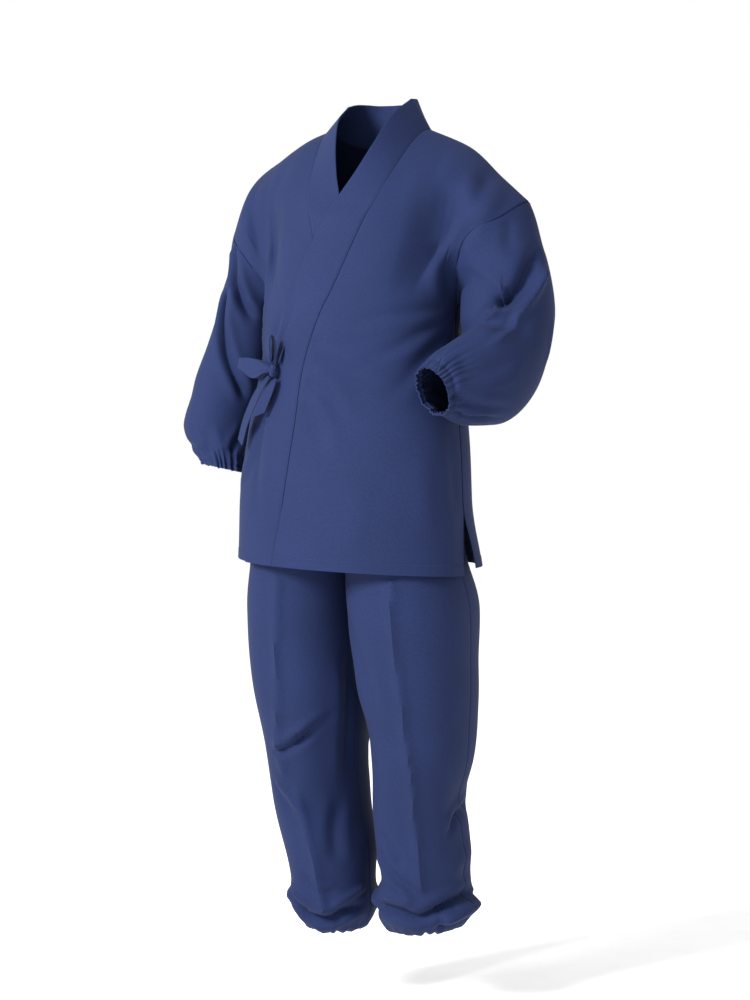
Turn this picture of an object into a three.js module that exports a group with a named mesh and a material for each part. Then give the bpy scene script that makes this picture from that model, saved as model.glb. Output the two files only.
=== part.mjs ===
// A samue: a two-piece Japanese work suit, worn by nobody, with the cloth keeping the form it has on a standing
// figure. The jacket wraps left over right and is tied at the wearer's right side; the trousers have an elastic waist
// and elastic ankles. Every piece is a thin closed wall of cloth. Millimetres, +Z up. The wearer faces -Y and the
// wearer's left is +X. The origin is the middle of the shoulder line at the base of the neck.
//
// Each panel is a stretch of a surface that is worked out from a short table of sections. A place on such a surface is
// given by how far it lies across the cloth (the grain lines run down) and by the number of the section, which need
// not be whole.
import * as THREE from "three";

// ---------------------------------------------------------------- sizes
const CLOTH = 1.2; // wall of one layer of cloth
const BAND = 2.4; // wall of the folded collar band, waistband and ties
const SEAM = 0.3; // clear distance between two pieces that are sewn together
const LAP = 2.6; // how far the outer front stands off, and the under front stands in, where they overlap
const WAISTBAND_HEIGHT = 34;
const CUFF_GATHERS = 18;

const CLOTH_COLOUR = 0x36437c;
const QUARTER = Math.PI / 2;

// ---------------------------------------------------------------- small tools
const vec = (x, y, z) => new THREE.Vector3(x, y, z);
const clamp = (v, low, high) => Math.min(high, Math.max(low, v));
const mix = (a, b, share) => a + (b - a) * share;
const smooth = (from, to, v) => {
  const x = clamp((v - from) / (to - from), 0, 1);
  return x * x * (3 - 2 * x);
};
const signedPower = (v, power) => Math.sign(v) * Math.abs(v) ** power;
const range = (count) => Array.from({ length: count }, (_, i) => i);
const spread = (from, to, count) => range(count).map((i) => mix(from, to, i / (count - 1)));

// A smooth curve through one number for each key, that never swings past the numbers it joins. It runs straight on
// past both ends. The slopes at the two ends may be given.
function numberThrough(keys, values, at, ends = []) {
  const last = keys.length - 1;
  const slope = (i) => (values[i + 1] - values[i]) / (keys[i + 1] - keys[i]);
  const tangent = (k) => {
    if (k === 0) return ends[0] ?? slope(0);
    if (k === last) return ends[1] ?? slope(last - 1);
    const before = slope(k - 1);
    const after = slope(k);
    if (before * after <= 0) return 0;
    const most = 3 * Math.min(Math.abs(before), Math.abs(after));
    return clamp((before + after) / 2, -most, most);
  };
  if (at <= keys[0]) return values[0] + tangent(0) * (at - keys[0]);
  if (at >= keys[last]) return values[last] + tangent(last) * (at - keys[last]);
  let i = 0;
  while (at > keys[i + 1]) i += 1;
  const step = keys[i + 1] - keys[i];
  const x = (at - keys[i]) / step;
  const rest = 1 - x;
  return (
    values[i] * (1 + 2 * x) * rest * rest +
    values[i + 1] * x * x * (3 - 2 * x) +
    tangent(i) * step * x * rest * rest -
    tangent(i + 1) * step * x * x * rest
  );
}

function pointThrough(keys, points, at, ends = []) {
  const along = (axis) =>
    numberThrough(keys, points.map((p) => p[axis]), at, ends.map((end) => end[axis]));
  return vec(along("x"), along("y"), along("z"));
}

const column = (table, name, keys, at) => numberThrough(keys, table.map((row) => row[name]), at);

// The outward normal of a surface, from the directions that its two numbers run in.
function normalOf(surface, a, b, sign, step = 0.02) {
  const along = surface(a + step, b).sub(surface(a - step, b));
  const down = surface(a, b + step).sub(surface(a, b - step));
  return along.cross(down).normalize().multiplyScalar(sign);
}

// ---------------------------------------------------------------- walls
// A closed wall from rows of { point, normal }: half its thickness lies on each side of the points. A tube's rows
// close on themselves.
function wall(rows, thickness, tube = false) {
  const count = rows.length;
  const width = rows[0].length;
  const positions = [];
  for (const side of [0.5, -0.5])
    for (const row of rows)
      for (const { point, normal } of row)
        positions.push(...point.clone().addScaledVector(normal, side * thickness).toArray());
  const at = (layer, i, j) => (layer * count + i) * width + (j % width);
  const faces = [];
  const quad = (a, b, c, d) => faces.push(a, b, c, a, c, d);
  const spans = tube ? width : width - 1;
  for (let i = 0; i < count - 1; i += 1)
    for (let j = 0; j < spans; j += 1) {
      quad(at(0, i, j), at(0, i + 1, j), at(0, i + 1, j + 1), at(0, i, j + 1));
      quad(at(1, i, j), at(1, i, j + 1), at(1, i + 1, j + 1), at(1, i + 1, j));
    }
  for (let j = 0; j < spans; j += 1) {
    quad(at(0, 0, j), at(0, 0, j + 1), at(1, 0, j + 1), at(1, 0, j));
    const end = count - 1;
    quad(at(0, end, j), at(1, end, j), at(1, end, j + 1), at(0, end, j + 1));
  }
  if (!tube)
    for (let i = 0; i < count - 1; i += 1) {
      quad(at(0, i, 0), at(1, i, 0), at(1, i + 1, 0), at(0, i + 1, 0));
      const end = width - 1;
      quad(at(0, i, end), at(0, i + 1, end), at(1, i + 1, end), at(1, i, end));
    }
  const geometry = new THREE.BufferGeometry();
  geometry.setAttribute("position", new THREE.Float32BufferAttribute(positions, 3));
  geometry.setIndex(volumeOf(positions, faces) < 0 ? faces.toReversed() : faces);
  geometry.computeVertexNormals();
  return geometry;
}

// Rows of points as rows of { point, normal }, each normal square to the lines to the neighbouring points.
function withNormals(rows, tube = false) {
  const width = rows[0].length;
  return rows.map((row, i) =>
    row.map((point, j) => {
      const before = tube ? row[(j + width - 1) % width] : row[Math.max(j - 1, 0)];
      const after = tube ? row[(j + 1) % width] : row[Math.min(j + 1, width - 1)];
      const above = rows[Math.max(i - 1, 0)][j];
      const below = rows[Math.min(i + 1, rows.length - 1)][j];
      const normal = after.clone().sub(before).cross(below.clone().sub(above)).normalize();
      return { point, normal };
    }),
  );
}

function volumeOf(positions, faces) {
  const corner = (k) => vec(...positions.slice(3 * k, 3 * k + 3));
  let sum = 0;
  for (let f = 0; f < faces.length; f += 3)
    sum += corner(faces[f]).dot(corner(faces[f + 1]).cross(corner(faces[f + 2])));
  return sum;
}

const garment = new THREE.Group();

function addPiece(name, geometry, colour = CLOTH_COLOUR) {
  const material = new THREE.MeshStandardMaterial({ color: colour, roughness: 0.85, metalness: 0 });
  const mesh = new THREE.Mesh(geometry, material);
  mesh.name = name;
  garment.add(mesh);
}

// ---------------------------------------------------------------- folds
// A fold runs from one place on a surface to another. It is highest (or, with a negative height, deepest) along its
// line, falls away over its width to each side, and fades out at both ends.
function foldHeight(folds, a, b) {
  let height = 0;
  for (const f of folds) {
    const alongA = f.toA - f.fromA;
    const alongB = f.toB - f.fromB;
    const length = alongA * alongA + alongB * alongB;
    const share = ((a - f.fromA) * alongA + (b - f.fromB) * alongB) / length;
    if (share < -0.3 || share > 1.3) continue;
    const off = ((a - f.fromA) * alongB - (b - f.fromB) * alongA) / Math.sqrt(length);
    const fade = smooth(-0.3, 0.25, share) * (1 - smooth(0.75, 1.3, share));
    height += f.high * fade * Math.exp(-((off / f.wide) ** 2));
  }
  return height;
}

// ---------------------------------------------------------------- the jacket's body
// Above the underarm, a section runs from the middle (share 0) out over the arm to the armhole (share 1) through
// four named places on the cloth. The wearer's left arm is bent and held out a little; the right arm hangs.
const YOKE_SHARES = { chest: 0.35, fold: 0.56, cap: 0.8, armhole: 1 };
const YOKE = {
  left: {
    ridge: { chest: [105, 12, -8], fold: [165, 12, -33], cap: [218, 11, -82], armhole: [264, 10, -121] },
    front: [
      { chest: [106, -86, -90], fold: [164, -62, -100], cap: [208, -60, -124], armhole: [243, -45, -146] },
      { chest: [104, -122, -180], fold: [148, -66, -186], cap: [170, -72, -182], armhole: [190, -66, -182] },
    ],
    back: [
      { chest: [104, 72, -84], fold: [160, 58, -98], cap: [206, 54, -126], armhole: [246, 48, -152] },
      { chest: [102, 92, -176], fold: [148, 66, -186], cap: [176, 64, -190], armhole: [206, 62, -204] },
    ],
  },
  right: {
    ridge: { chest: [-105, 12, -8], fold: [-167, 12, -40], cap: [-222, 10, -82], armhole: [-258, 8, -160] },
    front: [
      { chest: [-106, -86, -90], fold: [-165, -62, -104], cap: [-214, -56, -132], armhole: [-240, -40, -176] },
      { chest: [-104, -122, -180], fold: [-148, -68, -190], cap: [-180, -68, -196], armhole: [-206, -58, -208] },
    ],
    back: [
      { chest: [-104, 72, -84], fold: [-160, 58, -100], cap: [-210, 52, -134], armhole: [-246, 42, -180] },
      { chest: [-102, 92, -176], fold: [-148, 66, -190], cap: [-182, 62, -204], armhole: [-212, 54, -222] },
    ],
  },
};
const YOKE_MIDDLE = { ridge: [0, 14, 16], front: [[0, -114, -90], [0, -146, -180]], back: [[0, 84, -72], [0, 98, -172]] };

// From the underarm down, a section is a ring round the trunk.
const TRUNK = [
  { name: "underarm", z: -285, midX: -4, midY: -28, half: 163, front: 131, back: 124 },
  { name: "waist", z: -375, midX: -8, midY: -34, half: 168, front: 130, back: 120 },
  { name: "hip", z: -480, midX: -14, midY: -36, half: 184, front: 132, back: 134 },
  { name: "slit", z: -606, midX: -18, midY: -38, half: 195, front: 136, back: 142 },
  { name: "hem", z: -699, midX: -18, midY: -38, half: 197, front: 140, back: 142 },
];
const TRUNK_SQUARENESS = 2.25;
const UNDERARM = 3; // number of the underarm section, counted from the shoulder ridge
const SLIT = 6;
const HEM = 7;

const trunkRings = TRUNK.map((ring) => (share, face) => {
  const angle = face === "front" ? share * QUARTER : 2 * QUARTER - share * QUARTER;
  const across = signedPower(Math.sin(angle), 2 / TRUNK_SQUARENESS);
  const ahead = signedPower(Math.cos(angle), 2 / TRUNK_SQUARENESS);
  return vec(ring.midX + ring.half * across, ring.midY - (ahead > 0 ? ring.front : ring.back) * ahead, ring.z);
});

const yokeKeys = [
  ...Object.values(YOKE_SHARES).map((share) => -share).reverse(),
  0,
  ...Object.values(YOKE_SHARES),
];

function yokeSection(level, face) {
  const rowOf = (side) => (level === 0 ? YOKE[side].ridge : YOKE[side][face][level - 1]);
  const middle = level === 0 ? YOKE_MIDDLE.ridge : YOKE_MIDDLE[face][level - 1];
  const places = Object.keys(YOKE_SHARES);
  const points = [
    ...places.map((place) => vec(...rowOf("right")[place])).reverse(),
    vec(...middle),
    ...places.map((place) => vec(...rowOf("left")[place])),
  ];
  return (share) => pointThrough(yokeKeys, points, share);
}

// The sections are numbered from the back hem (-7), over the shoulder ridge (0), to the front hem (7). From the
// underarm down, front and back are one ring and meet along the side.
const trunkNumbers = range(HEM - UNDERARM + 1).map((i) => i + UNDERARM);
const yokeNumbers = range(2 * UNDERARM + 1).map((i) => i - UNDERARM);
const yokeSections = yokeNumbers.map((number) => {
  const face = number < 0 ? "back" : "front";
  const level = Math.abs(number);
  return level < UNDERARM ? yokeSection(level, face) : (share) => trunkRings[0](share, face);
});

function bodyForm(share, number) {
  const face = number < 0 ? "back" : "front";
  const level = Math.abs(number);
  if (level >= UNDERARM) return pointThrough(trunkNumbers, trunkRings.map((ring) => ring(share, face)), level);
  const below = (side) => trunkRings[1](share, side).sub(trunkRings[0](share, side));
  const ends = [below("back").negate(), below("front")];
  return pointThrough(yokeNumbers, yokeSections.map((section) => section(share)), number, ends);
}
const bodyNormal = (share, number) => normalOf(bodyForm, share, number, -1);

// The largest folds of the jacket's body, in shares across and section numbers.
const BODY_FOLDS = [
  { fromA: 0.5, fromB: 2.2, toA: 0.38, toB: 4.2, wide: 0.06, high: -5 },
  { fromA: 0.62, fromB: 2.6, toA: 0.52, toB: 4.6, wide: 0.05, high: 5 },
  { fromA: -0.62, fromB: 1.6, toA: -0.72, toB: 3.6, wide: 0.05, high: 6 },
  { fromA: 0.55, fromB: -2.4, toA: 0.42, toB: -4.6, wide: 0.07, high: -5 },
  { fromA: -0.55, fromB: -2.4, toA: -0.44, toB: -4.4, wide: 0.07, high: -5 },
];

// The seam that joins a front to the collar band, and the band's width, as shares across, one row for each section.
const FRONT_EDGE = [
  { seam: 0.3, band: 0.2 },
  { seam: 0.22, band: 0.197 },
  { seam: 0.12, band: 0.232 },
  { seam: -0.014, band: 0.24 },
  { seam: -0.1, band: 0.232 },
  { seam: -0.13, band: 0.228 },
  { seam: -0.178, band: 0.234 },
  { seam: -0.232, band: 0.23 },
];
const edgeNumbers = range(HEM + 1);
const seamShare = (number) => column(FRONT_EDGE, "seam", edgeNumbers, number);
const bandShare = (number) => column(FRONT_EDGE, "band", edgeNumbers, number);

// The back's neckline, from the left shoulder round the nape to the right.
const NECK_SHARE = FRONT_EDGE[0].seam;
const NECK_DEPTH = 0.6; // how far below the ridge the nape seam lies, in sections
const neckline = (angle) => ({ share: NECK_SHARE * Math.cos(angle), number: -NECK_DEPTH * Math.sin(angle) ** 0.8 });
const NECK_STEPS = 8;

const sectionSteps = [...range(9).map((i) => i / 3), 3, 3.5, 4, 4.5, 5, 5.5, 6, 6.5, 7];

// side is 1 for the wearer's left and -1 for the right. The left front is the outer one.
function lapOffset(side, share, number) {
  const fromSeam = 1 - smooth(0.82, 0.98, side * share);
  return side * LAP * fromSeam * smooth(0.2, 1, number);
}

// The front hem hangs lower at the wearer's left than at the right.
const HEM_SLANT = 12;

function bodyPlace(share, number, offset) {
  const normal = bodyNormal(share, number);
  const point = bodyForm(share, number).addScaledVector(normal, offset + foldHeight(BODY_FOLDS, share, number));
  point.z -= HEM_SLANT * share * smooth(SLIT, HEM, number);
  return { point, normal };
}

// Below the slit's top the front's edge and the back's edge part a little, and the back's flaps stand out.
const SLIT_PART = 0.014;
const FLAP_FLARE = { left: 19, right: 6 };
const sideShare = (number) => 1 - SLIT_PART * smooth(SLIT, SLIT + 0.6, number);
const flapOffset = (share, number) =>
  (share > 0 ? FLAP_FLARE.left : FLAP_FLARE.right) *
  smooth(SLIT - 0.15, HEM + 0.3, number) *
  smooth(0.3, 0.9, Math.abs(share));

const seamStep = SEAM / 2 / 300; // half a seam's gap as a share of the cloth across
const EDGE_ROOM = 1.8;

function frontPanel(side) {
  const across = 14;
  return sectionSteps.map((number) => {
    const inner = side * seamShare(number) + side * seamStep * 2;
    const outer = side * (sideShare(number) - seamStep * EDGE_ROOM);
    const at = Math.max(number, seamStep * 6);
    return spread(inner, outer, across).map((share) => bodyPlace(share, at, lapOffset(side, share, at)));
  });
}

function backPanel() {
  const neckAngles = spread(0, 2 * QUARTER, NECK_STEPS + 1);
  const neckShares = neckAngles.map((angle) => neckline(angle).share);
  const outside = spread(1, NECK_SHARE, 6).slice(0, -1);
  const shares = [...outside, ...neckShares, ...outside.map((s) => -s).reverse()];
  return sectionSteps.map((level) =>
    shares.map((share, k) => {
      const onNeck = k >= outside.length && k < outside.length + neckShares.length;
      const start = seamStep * 6 + (onNeck ? -neckline(neckAngles[k - outside.length]).number : 0);
      const number = mix(start, HEM, level / HEM);
      const edge = Math.abs(share) === 1 ? Math.sign(share) * (sideShare(number) - seamStep * EDGE_ROOM) : share;
      return bodyPlace(edge, -number, flapOffset(share, number));
    }),
  );
}

addPiece("front_left", wall(frontPanel(1), CLOTH));
addPiece("front_right", wall(frontPanel(-1), CLOTH));
addPiece("back", wall(backPanel(), CLOTH));

// ---------------------------------------------------------------- the sleeves
// A ring of a sleeve: its middle, its half width towards the arm's outer side and towards the front, and how far its
// outer side lies back along the sleeve.
const SLEEVES = {
  left: [
    { x: 237, y: 2, z: -236, out: 71, fore: 74, lean: 0 },
    { x: 244, y: -2, z: -303, out: 74, fore: 78, lean: 0 },
    { x: 246, y: -30, z: -364, out: 70, fore: 78, lean: 0 },
    { x: 234, y: -82, z: -394, out: 66, fore: 82, lean: 0 },
    { x: 218, y: -127, z: -400, out: 58, fore: 68, lean: 0 },
    { x: 203, y: -163, z: -404, out: 44, fore: 50, lean: 0 },
    { x: 193, y: -184, z: -414, out: 36, fore: 40, lean: 0 },
  ],
  right: [
    { x: -226, y: 4, z: -268, out: 44, fore: 72, lean: 0 },
    { x: -245, y: 6, z: -345, out: 44, fore: 70, lean: 0 },
    { x: -270, y: -6, z: -430, out: 56, fore: 68, lean: 4 },
    { x: -276, y: -24, z: -488, out: 54, fore: 62, lean: 8 },
    { x: -268, y: -38, z: -520, out: 44, fore: 48, lean: 13 },
    { x: -260, y: -46, z: -538, out: 34, fore: 36, lean: 16 },
    { x: -256, y: -50, z: -550, out: 31, fore: 32, lean: 17 },
  ],
};
const SLEEVE_AROUND = 36;
const sleeveNumbers = range(SLEEVES.left.length + 1);
const CUFF = SLEEVES.left.length;

const SLEEVE_FOLDS = {
  left: [
    { fromA: 0.6, fromB: 2.9, toA: 1.9, toB: 1.9, wide: 0.28, high: -11 },
    { fromA: 0.3, fromB: 0.6, toA: 0.8, toB: 1.7, wide: 0.22, high: -5 },
    { fromA: 0.95, fromB: 0.3, toA: 1.2, toB: 1.5, wide: 0.2, high: -5 },
    { fromA: 5.6, fromB: 2.9, toA: 4.4, toB: 2.2, wide: 0.3, high: -8 },
  ],
  right: [
    { fromA: 0.5, fromB: 0.4, toA: 1.3, toB: 3.6, wide: 0.2, high: -8 },
    { fromA: 1.5, fromB: 0.5, toA: 2.1, toB: 3.2, wide: 0.24, high: -6 },
    { fromA: 5.2, fromB: 0.6, toA: 4.7, toB: 3.4, wide: 0.26, high: -7 },
  ],
};

// The armhole is the edge of the jacket's body: the front from angle 0, at the shoulder, to half a turn, under the
// arm, and the back from there round to the shoulder again.
function armholeNumber(angle) {
  const turn = ((angle % (4 * QUARTER)) + 4 * QUARTER) % (4 * QUARTER);
  return turn <= 2 * QUARTER ? (UNDERARM * turn) / (2 * QUARTER) : (-UNDERARM * (4 * QUARTER - turn)) / (2 * QUARTER);
}

function sleeveFrames(side) {
  const sign = side === "left" ? 1 : -1;
  const top = bodyForm(sign, 0);
  const under = bodyForm(sign, UNDERARM);
  const rings = SLEEVES[side];
  const middles = [top.clone().add(under).multiplyScalar(0.5), ...rings.map((r) => vec(r.x, r.y, r.z))];
  const tangentAt = (i) => {
    const before = middles[Math.max(i - 1, 0)];
    const after = middles[Math.min(i + 1, middles.length - 1)];
    return after.clone().sub(before).normalize();
  };
  let out = top.clone().sub(under).normalize();
  return middles.map((middle, i) => {
    const along = tangentAt(i);
    out = out.clone().addScaledVector(along, -out.dot(along)).normalize();
    const fore = along.clone().cross(out).multiplyScalar(sign);
    return { middle, along, out, fore };
  });
}

function sleeveForm(side) {
  const sign = side === "left" ? 1 : -1;
  const frames = sleeveFrames(side);
  const rings = SLEEVES[side];
  return (angle, number) => {
    const points = sleeveNumbers.map((i) => {
      if (i === 0) return bodyForm(sign, armholeNumber(angle));
      const { middle, along, out, fore } = frames[i];
      const ring = rings[i - 1];
      return middle
        .clone()
        .addScaledVector(out, ring.out * Math.cos(angle))
        .addScaledVector(fore, ring.fore * Math.sin(angle))
        .addScaledVector(along, -ring.lean * Math.cos(angle));
    });
    return pointThrough(sleeveNumbers, points, number);
  };
}

const SLEEVE_STEPS = [0, 0.5, 1, 1.5, 2, 2.5, 3, 3.5, 4, 4.7, 5.4, 6.1, CUFF];
const GATHER_DEPTH = 2.6;

function sleeve(side) {
  const sign = side === "left" ? 1 : -1;
  const form = sleeveForm(side);
  const angles = range(SLEEVE_AROUND).map((j) => (4 * QUARTER * j) / SLEEVE_AROUND);
  const rows = SLEEVE_STEPS.map((step) => {
    const number = Math.max(step, 0.014);
    return angles.map((angle) => {
      const normal = normalOf(form, angle, number, sign);
      const gather = GATHER_DEPTH * smooth(4.6, 6.2, number) * Math.cos(CUFF_GATHERS * angle);
      const height = gather + foldHeight(SLEEVE_FOLDS[side], angle, number);
      return { point: form(angle, number).addScaledVector(normal, height), normal };
    });
  });
  seatOnArmhole(rows[0], sign);
  return wall(rows, CLOTH, true);
}

// The first ring follows the body's own edge, corner for corner, and faces the way the body faces there.
function seatOnArmhole(row, sign) {
  const perSection = SLEEVE_AROUND / 2 / 9;
  row.forEach((place, j) => {
    const number = armholeNumber((4 * QUARTER * j) / SLEEVE_AROUND);
    place.normal = bodyNormal(sign * 0.999, number);
    if (j % perSection !== 0) {
      const before = row[j - 1].point;
      const after = row[(j + 1) % row.length].point;
      place.point = before.clone().add(after).multiplyScalar(0.5);
    }
  });
}

addPiece("sleeve_left", sleeve("left"));
addPiece("sleeve_right", sleeve("right"));

// ---------------------------------------------------------------- the collar band
// Round the neck the band stands up. One row for each station gives the free edge's place in space, from the left
// collarbone (a number of a section) to the side of the neck, and on round the back (an angle) to the nape.
const COLLAR_FRONT = [
  { number: 4 / 3, leftX: -2, leftZ: -112, rightX: -2, rightZ: -112, freeY: -122 },
  { number: 1, leftX: 20, leftZ: -72, rightX: -14, rightZ: -74, freeY: -107 },
  { number: 2 / 3, leftX: 40, leftZ: -24, rightX: -29, rightZ: -30, freeY: -81 },
  { number: 1 / 3, leftX: 54, leftZ: 20, rightX: -42, rightZ: 12, freeY: -46 },
  { number: 0, leftX: 62, leftZ: 47, rightX: -50, rightZ: 37, freeY: 4 },
];
const COLLAR_BACK = [
  { angle: QUARTER / 4, leftX: 60, leftZ: 48, rightX: -48, rightZ: 42, freeY: 30 },
  { angle: QUARTER / 2, leftX: 47, leftZ: 46, rightX: -39, rightZ: 43, freeY: 50 },
  { angle: (3 * QUARTER) / 4, leftX: 26, leftZ: 43, rightX: -22, rightZ: 42, freeY: 64 },
  { angle: QUARTER, leftX: 0, leftZ: 42, rightX: 0, rightZ: 42, freeY: 68 },
];
const BAND_COLUMNS = [0, 0.33, 0.67, 1];
const flatSteps = sectionSteps.filter((number) => number > 1.4).reverse();

// Points of the band on one side, from the hem up to the nape.
function bandRows(side) {
  const seamPlace = (share, number, lap) => bodyPlace(side * share, number, side * lap).point;
  const flat = flatSteps.map((number) =>
    BAND_COLUMNS.map((c) => seamPlace(seamShare(number) - c * bandShare(number), number, LAP)),
  );
  const standing = [
    ...COLLAR_FRONT.map((row) => ({ ...row, share: seamShare(row.number) })),
    ...COLLAR_BACK.map((row) => ({ ...row, ...neckline(row.angle) })),
  ].map((row) => {
    const place = seamPlace(row.share, row.number, LAP * smooth(0.2, 1, row.number));
    const free = side > 0 ? vec(row.leftX, row.freeY, row.leftZ) : vec(row.rightX, row.freeY, row.rightZ);
    if (row.number > 1.1) free.y -= side * LAP;
    // Where the band turns up from the cloth, its thickness needs room at the seam.
    const rise = free.clone().sub(place);
    const turn = Math.abs(rise.clone().normalize().dot(bodyNormal(side * row.share, row.number)));
    const clear = (SEAM + 0.2 + ((BAND + CLOTH) / 2) * turn) / rise.length();
    return BAND_COLUMNS.map((c) => place.clone().lerp(free, c + clear * (1 - c)));
  });
  return [...flat, ...standing];
}

const bandPoints = [...bandRows(-1), ...bandRows(1).reverse().slice(1)];
addPiece("collar_band", wall(withNormals(bandPoints), BAND));

// ---------------------------------------------------------------- the trousers
// Down to the seat a section is a ring round the trunk. From the crotch down it is a ring round each leg.
const PELVIS = [
  { name: "waist", z: -392, midX: -8, midY: -34, half: 146, front: 108, back: 102 },
  { name: "hip", z: -490, midX: -14, midY: -36, half: 168, front: 118, back: 120 },
  { name: "seat", z: -600, midX: -18, midY: -38, half: 184, front: 122, back: 126 },
];
const LEGS = {
  left: [
    { name: "crotch", z: -690, inner: -16.9, outer: 166, midY: -36, deep: 108 },
    { name: "thigh", z: -775, inner: -15, outer: 186, midY: -30, deep: 114 },
    { name: "knee", z: -900, inner: -3, outer: 182, midY: -22, deep: 104 },
    { name: "shin", z: -1000, inner: 6, outer: 174, midY: -16, deep: 96 },
    { name: "calf", z: -1100, inner: 4, outer: 160, midY: -8, deep: 88 },
    { name: "ankle", z: -1190, inner: 8, outer: 160, midY: 0, deep: 84 },
    { name: "puff", z: -1252, inner: 14, outer: 168, midY: 2, deep: 82 },
    { name: "turn", z: -1284, inner: 26, outer: 152, midY: 2, deep: 68 },
    { name: "cuff", z: -1292, inner: 46, outer: 134, midY: 2, deep: 48 },
  ],
  right: [
    { name: "crotch", z: -690, inner: -19.1, outer: -204, midY: -38, deep: 111.4 },
    { name: "thigh", z: -775, inner: -21, outer: -214, midY: -34, deep: 114 },
    { name: "knee", z: -900, inner: -24, outer: -210, midY: -28, deep: 106 },
    { name: "shin", z: -1000, inner: -34, outer: -190, midY: -22, deep: 96 },
    { name: "calf", z: -1100, inner: -32, outer: -179, midY: -12, deep: 88 },
    { name: "ankle", z: -1190, inner: -14, outer: -160, midY: -6, deep: 82 },
    { name: "puff", z: -1262, inner: -8, outer: -149, midY: -4, deep: 76 },
    { name: "turn", z: -1295, inner: -18, outer: -126, midY: -4, deep: 62 },
    { name: "cuff", z: -1304, inner: -32, outer: -114, midY: -4, deep: 46 },
  ],
};
const LEG_SQUARENESS = 2.2;
const LEG_COLUMNS = 17;
const legNumbers = range(PELVIS.length + LEGS.left.length);
const LEG_END = legNumbers.length - 1;
const CROTCH = PELVIS.length;
const LEG_STEPS = [0, 1, 2, 2.5, 3, 3.5, 4, 5, 5.6, 6.2, 7, 7.6, 8.2, 8.7, 9.2, 9.7, 10.2, 10.6, LEG_END];

const LEG_FOLDS = {
  left: [
    { fromA: 0.75, fromB: 6.2, toA: 0.35, toB: 6.9, wide: 0.14, high: -6 },
    { fromA: 0.95, fromB: 8.1, toA: 0.5, toB: 8.6, wide: 0.12, high: -8 },
    { fromA: 0.15, fromB: 8.6, toA: 0.55, toB: 9.2, wide: 0.12, high: -7 },
  ],
  right: [
    { fromA: 0.9, fromB: 6.1, toA: 0.35, toB: 5.6, wide: 0.14, high: -8 },
    { fromA: 0.9, fromB: 8.4, toA: 0.4, toB: 8.9, wide: 0.12, high: -8 },
    { fromA: 0.2, fromB: 7.9, toA: 0.65, toB: 8.6, wide: 0.12, high: -6 },
  ],
};

function pelvisPoint(ring, face, across, ahead) {
  const depth = face === "front" ? -ring.front : ring.back;
  return vec(ring.midX + ring.half * across, ring.midY + depth * ahead, ring.z);
}

function legPoint(ring, face, across, ahead) {
  const middle = (ring.inner + ring.outer) / 2;
  const half = (ring.inner - ring.outer) / 2;
  const depth = face === "front" ? -ring.deep : ring.deep;
  return vec(middle + half * across, ring.midY + depth * ahead, ring.z);
}

// A section's place for a share of the panel's width: 0 is the middle seam or the inseam and 1 is the side seam.
function legForm(sideName, face) {
  const side = sideName === "left" ? 1 : -1;
  const onPelvis = (ring, share) => {
    const across = side * signedPower(Math.sin(share * QUARTER), 2 / TRUNK_SQUARENESS);
    return pelvisPoint(ring, face, across, signedPower(Math.cos(share * QUARTER), 2 / TRUNK_SQUARENESS));
  };
  const onLeg = (ring, share) => {
    const across = signedPower(Math.cos(share * 2 * QUARTER), 2 / LEG_SQUARENESS);
    return legPoint(ring, face, across, signedPower(Math.sin(share * 2 * QUARTER), 2 / LEG_SQUARENESS));
  };
  const rings = LEGS[sideName];
  return (share, number) => {
    if (number >= CROTCH) {
      const keys = legNumbers.filter((n) => n >= CROTCH);
      return pointThrough(keys, rings.map((ring) => onLeg(ring, share)), number);
    }
    const points = [...PELVIS.map((ring) => onPelvis(ring, share)), onLeg(rings[0], share)];
    const below = onLeg(rings[1], share).sub(points[CROTCH]);
    const first = points[1].clone().sub(points[0]);
    return pointThrough(range(CROTCH + 1), points, number, [first, below]);
  };
}

function legPanel(sideName, face) {
  const form = legForm(sideName, face);
  const sign = (sideName === "left" ? 1 : -1) * (face === "front" ? -1 : 1);
  const folds = face === "front" ? LEG_FOLDS[sideName] : [];
  const rows = LEG_STEPS.map((number) =>
    range(LEG_COLUMNS).map((k) => {
      const share = clamp(k / (LEG_COLUMNS - 1), 0.0004, 0.9996);
      const normal = normalOf(form, share, number, sign);
      const gathered = 1 - smooth(0, 0.8, number) + smooth(9.6, 10.6, number);
      const gather = 1.5 * gathered * (k % 2 === 0 ? 1 : -1);
      const inside = smooth(0, 0.1, share) * (1 - smooth(0.9, 1, share));
      const height = gather + inside * foldHeight(folds, share, number);
      return { point: form(share, number).addScaledVector(normal, height), normal };
    }),
  );
  return wall(rows, CLOTH);
}

for (const face of ["front", "back"])
  for (const side of ["left", "right"]) addPiece(`trousers_${face}_${side}`, legPanel(side, face));

function waistband() {
  const ring = PELVIS[0];
  const around = 4 * (LEG_COLUMNS - 1);
  const heights = [ring.z + SEAM + 0.6, ring.z + WAISTBAND_HEIGHT / 2, ring.z + WAISTBAND_HEIGHT];
  const rows = heights.map((z) =>
    range(around).map((j) => {
      const angle = (j * 4 * QUARTER) / around;
      const across = signedPower(Math.sin(angle), 2 / TRUNK_SQUARENESS);
      const ahead = signedPower(Math.cos(angle), 2 / TRUNK_SQUARENESS);
      const depth = ahead > 0 ? ring.front : ring.back;
      const wave = j % 2 === 0 ? 1.5 : -1.5;
      return vec(ring.midX + (ring.half + wave) * across, ring.midY - (depth + wave) * ahead, z);
    }),
  );
  return wall(withNormals(rows, true), BAND, true);
}

addPiece("trousers_waistband", waistband());

// ---------------------------------------------------------------- the ties
// The knot lies on the outer band's free edge at the wearer's right side.
const KNOT = { x: -95, y: -165.3, z: -386, halfX: 11, halfY: 9, halfZ: 13 };

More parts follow.
